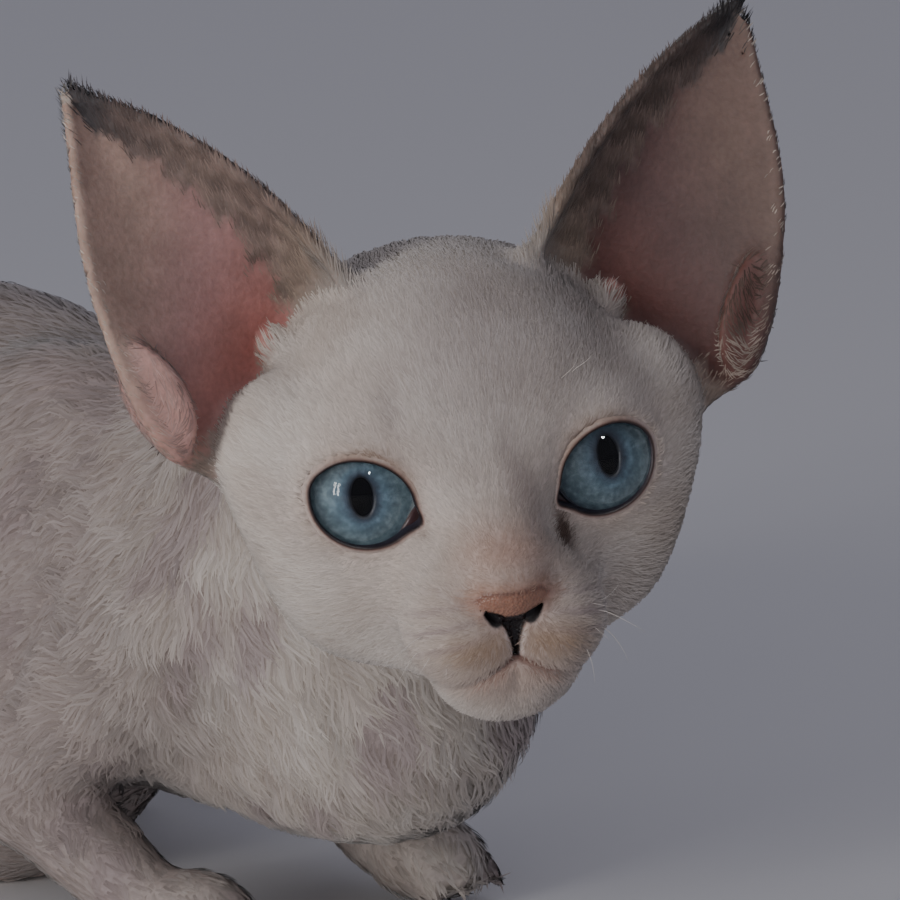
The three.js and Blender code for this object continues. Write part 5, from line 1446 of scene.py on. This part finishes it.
def grow_coat(region_name, tufts, growth):
    """One part of the coat as a plain mesh of its own, of about so many tufts."""
    number = REGIONS.index(region_name)
    haired = (face_areas * quad_mean(np.clip(hair_amount, 0, 1)))[region == number]
    modifier = skin.modifiers.new("coat", "NODES")
    modifier.node_group = coat_nodes
    settings = {"Region": number, "Seed": number + 1, "Finish": hair,
                "Tufts per square metre": float(tufts / haired.sum()), **growth}
    for key, value in settings.items():
        modifier[coat_sockets[key.replace("_", " ")]] = value
    grown = skin.evaluated_get(bpy.context.evaluated_depsgraph_get())
    mesh = bpy.data.meshes.new_from_object(grown)
    skin.modifiers.remove(modifier)
    mesh.name = f"coat_{region_name}"
    count = len(mesh.vertices)
    off_body, off_tuft = np.zeros(count * 3, np.float32), np.zeros(count * 3, np.float32)
    mesh.attributes["out"].data.foreach_get("vector", off_body)
    mesh.vertices.foreach_get("normal", off_tuft)
    mesh.attributes.remove(mesh.attributes["out"])
    soft = unit_rows(off_body.reshape(-1, 3) * SOFT + off_tuft.reshape(-1, 3) * (1 - SOFT))
    mesh.normals_split_custom_set_from_vertices(soft.tolist())
    piece = bpy.data.objects.new(mesh.name, mesh)
    bpy.context.scene.collection.objects.link(piece)
    piece.visible_shadow = False
    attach(piece, "root")
    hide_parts(*COAT_OVER[region_name])


FACE = {"Root_width": 2.1e-4, "Segments": 2, "Rise": 0.26, "Wave": 1.4e-4, "Turns_of_wave": 0.7,
        "Lock_size": 1.8e-3, "Lock_closes": 0.3, "Body_roundness": 0.025, "Stray": 0.22}
EAR = dict(FACE, Root_width=2.4e-4, Rise=0.2, Wave=0.6e-4, Lock_closes=0.1)
CROWN = dict(FACE, Root_width=2.5e-4, Rise=0.4, Wave=3.5e-4, Lock_size=2.6e-3)
NAPE = dict(FACE, Root_width=3.4e-4, Rise=0.5, Wave=4e-4, Lock_size=3.4e-3, Lock_closes=0.45)
CHEST = {"Root_width": 7.0e-4, "Flatness": 0.25, "Segments": 3, "Rise": 0.30, "Droop": 0.5,
         "Wave": 8e-4, "Turns_of_wave": 0.75, "Lock_size": 4.6e-3, "Lock_closes": 0.55,
         "Body_roundness": 0.035, "Stray": 0.3}
PLUSH = dict(CHEST, Root_width=1.3e-3, Segments=2, Rise=0.22, Wave=4e-4, Turns_of_wave=0.5,
             Lock_closes=0.4, Flatness=0.16)
SHORT = dict(PLUSH, Root_width=9e-4, Rise=0.18, Droop=0.7, Wave=2e-4, Flatness=0.2)
COAT_PARTS = [  # part, tufts, how they grow
    ("muzzle", 10000, FACE), ("face_left", 17500, FACE), ("face_right", 17500, FACE),
    ("crown", 14000, CROWN), ("ears", 15000, EAR), ("nape_and_throat", 12500, NAPE),
    ("chest_left", 8500, CHEST), ("chest_right", 12200, CHEST), ("flank_left", 4500, PLUSH),
    ("flank_right", 9000, dict(PLUSH, Root_width=1.0e-3)),
    ("haunches", 6500, dict(PLUSH, Root_width=1.6e-3)), ("legs", 10500, SHORT),
    ("tail", 3300, SHORT)]
for region_name, tufts, growth in COAT_PARTS:
    grow_coat(region_name, tufts, growth)

# Whiskers: a few short, curled, stiff hairs on the pads, over the eyes and on the cheeks.
# Each is a thin tapering tube of horn-pale hair, rooted in the skin.


WHISKER_STEPS, WHISKER_SIDES = 14, 5
WHISKER_TAPER = 0.85  # how much of its width is gone at the tip
WHISKER_CURL, WHISKER_SWAY = 5.2, 0.10  # radians of its wave, and how wide as a share of its length
WHISKER_SHARES = (0.4, 0.75)  # shares of its full length to which each one has grown
WHISKER_FINE = 0.8  # share of the widths below
WHISKER_SPREAD = 0.12


def hair_tube(start, ahead, bend, length, width):
    """A curling tapered tube in the head's frame, from its root along ahead and over by bend."""
    start, ahead, bend = (np.asarray(v, float) for v in (start, ahead, bend))
    ahead = ahead / np.linalg.norm(ahead)
    t = np.linspace(0, 1, WHISKER_STEPS + 1)[:, None]
    curl = np.sin(t * WHISKER_CURL) * (1 - t) * WHISKER_SWAY * length
    line = start + ahead * length * (t - 0.12 * t**3) + bend * (t**2.2) * length * 0.5
    line = line + np.cross(ahead, bend) * curl
    frame_side = unit_rows(np.cross(np.gradient(line, axis=0), (0.3, 0.2, 1.0)))
    frame_up = unit_rows(np.cross(frame_side, np.gradient(line, axis=0)))
    angles = np.linspace(0, 2 * np.pi, WHISKER_SIDES, endpoint=False)
    places = []
    for k in range(WHISKER_STEPS + 1):
        radius = width / 2 * (1 - WHISKER_TAPER * k / WHISKER_STEPS)
        places.append(line[k] + radius * (np.cos(angles)[:, None] * frame_side[k]
                                          + np.sin(angles)[:, None] * frame_up[k]))
    return np.concatenate(places), ring_faces(WHISKER_STEPS + 1, WHISKER_SIDES)


WHISKERS = [  # root, heading, bend, length, width
    ((9.5, -16.2, -17.0), (1.0, -0.25, 0.10), (0.1, 0.3, -0.5), 11, 0.16),
    ((10.8, -15.6, -18.2), (1.0, -0.2, -0.15), (0.2, 0.3, -0.7), 13, 0.17),
    ((9.6, -16.4, -19.6), (1.0, -0.3, -0.30), (0.0, 0.3, -0.8), 10, 0.16),
    ((11.2, -15.0, -20.4), (1.0, -0.1, -0.45), (-0.3, 0.4, -0.9), 14, 0.17),
    ((8.8, -16.6, -21.4), (0.9, -0.4, -0.65), (-0.5, 0.2, -0.8), 9, 0.15),
    ((12.2, -14.0, -17.6), (1.0, 0.1, 0.15), (0.0, 0.2, 0.8), 12, 0.16),
    ((12.2, -5.0, 12.5), (0.3, -0.9, 0.9), (0.3, 0.5, 0.4), 9, 0.13),
    ((14.0, -4.5, 13.2), (0.5, -0.8, 0.9), (0.5, 0.4, 0.2), 11, 0.13),
    ((28.0, 1.5, -9.0), (0.9, -0.6, -0.2), (0.3, 0.4, -0.4), 7, 0.12)]


def whisker_finish():
    """Horn-pale hair, a little darker in bands."""
    material, shader = new_finish("whisker_horn", tuple(IVORY), 0.35)
    tree = material.node_tree
    bands = ramp(tree, noise(tree, object_place(tree), 500, 2), [
        (0.3, (0.62, 0.56, 0.5)), (0.7, tuple(IVORY))])
    tree.links.new(bands, shader.inputs["Base Color"])
    return material


rng = np.random.default_rng(7)
places, faces, count = [], [], 0
for sign in (1, -1):
    for root, heading, bend, length, width in WHISKERS:
        jitter = rng.normal(0, WHISKER_SPREAD, 3)
        tube, rings = hair_tube(root, np.array(heading) + jitter, bend,
                                length * rng.uniform(*WHISKER_SHARES), width * WHISKER_FINE)
        places.append(tube * (sign, 1, 1))
        faces += [tuple(v + count for v in (face if sign > 0 else face[::-1])) for face in rings]
        count += len(tube)
whiskers = mesh_of("whiskers", in_row(from_head(np.concatenate(places).T).T), faces)
whiskers.data.materials.append(whisker_finish())
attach(whiskers, "root")
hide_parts("head")

# Camera: a long lens in front of the kitten and to its right, a little above its eyes.
# It is rolled slightly, and aimed a few millimetres past the middle between the eyes.

CAMERA_TURN, CAMERA_RISE, CAMERA_ROLL = (math.radians(a) for a in (-48.591, 10.752, -2.008))
CAMERA_DISTANCE = 650  # millimetres from the middle between the eyes
AIM_ACROSS, AIM_UP = -3.895, 3.107  # how far past that middle the camera is aimed
CAMERA_LENS, SENSOR_WIDTH = 181.05, 36

back = Vector((math.sin(CAMERA_TURN) * math.cos(CAMERA_RISE),
               -math.cos(CAMERA_TURN) * math.cos(CAMERA_RISE), math.sin(CAMERA_RISE)))
right = Vector((math.cos(CAMERA_TURN), math.sin(CAMERA_TURN), 0))
up = back.cross(right)
right, up = (math.cos(CAMERA_ROLL) * right + math.sin(CAMERA_ROLL) * up,
             math.cos(CAMERA_ROLL) * up - math.sin(CAMERA_ROLL) * right)
eyes = Vector(in_row(EYES_MID))
stand = eyes + back * CAMERA_DISTANCE * MM
aim = eyes + right * AIM_ACROSS * MM + up * AIM_UP * MM
back = (stand - aim).normalized()
right = up.cross(back).normalized()
up = back.cross(right)
camera_data = bpy.data.cameras.new("camera")
camera_data.lens = CAMERA_LENS
camera_data.sensor_width = SENSOR_WIDTH
camera = bpy.data.objects.new("camera", camera_data)
bpy.context.scene.collection.objects.link(camera)
camera.matrix_world = Matrix((
    (right.x, up.x, back.x, stand.x), (right.y, up.y, back.y, stand.y),
    (right.z, up.z, back.z, stand.z), (0, 0, 0, 1)))
bpy.context.scene.camera = camera

# Floor and lights: a plain pale floor, and faint bluish light from all round.
# Two tall narrow lamps and a wide weak one stand on the kitten's right. A small one, high in
# front, only makes the glint in its eyes.

FLOOR_WIDTH, FLOOR_COLOUR = 12, (0.72, 0.71, 0.72)
SKY_COLOUR, SKY_STRENGTH = (0.475, 0.48, 0.56), 0.55
WARM, WHITE = (1, 0.98, 0.95), (1, 1, 1)
LIT_CHEST = (0, -0.12, 0.08)  # where the lamps point
LAMPS = [  # name, place, aim, width and height in metres, watts, colour
    ("left pane", (-1.34, 0.19, 0.33), LIT_CHEST, (0.12, 0.56), 4, WARM),
    ("right pane", (-1.38, 0.00, 0.33), LIT_CHEST, (0.12, 0.56), 4, WARM),
    ("catchlight", (-0.32, -0.72, 0.72), LIT_CHEST, (0.09, 0.09), 2, WHITE),
    ("fill", (-1.25, -0.75, 0.28), (0, -0.12, 0.06), (1.1, 1.1), 4, WARM)]

bpy.ops.mesh.primitive_plane_add(size=FLOOR_WIDTH)
floor = bpy.context.object
floor.name = "floor"
floor_paint, shader = new_finish("floor_paint", FLOOR_COLOUR, 0.8)
floor.data.materials.append(floor_paint)
world = bpy.data.worlds.new("studio")
bpy.context.scene.world = world
world.use_nodes = True
world.node_tree.nodes["Background"].inputs["Color"].default_value = (*SKY_COLOUR, 1)
world.node_tree.nodes["Background"].inputs["Strength"].default_value = SKY_STRENGTH
for name, place, target, size, watts, colour in LAMPS:
    light = bpy.data.lights.new(name, "AREA")
    light.shape = "RECTANGLE"
    light.size, light.size_y = size
    light.energy = watts
    light.color = colour
    lamp = bpy.data.objects.new(name, light)
    bpy.context.scene.collection.objects.link(lamp)
    lamp.location = place
    lamp.rotation_euler = (Vector(target) - Vector(place)).to_track_quat("-Z", "Y").to_euler()
bpy.data.objects["catchlight"].visible_diffuse = False
bpy.data.objects["fill"].visible_glossy = False
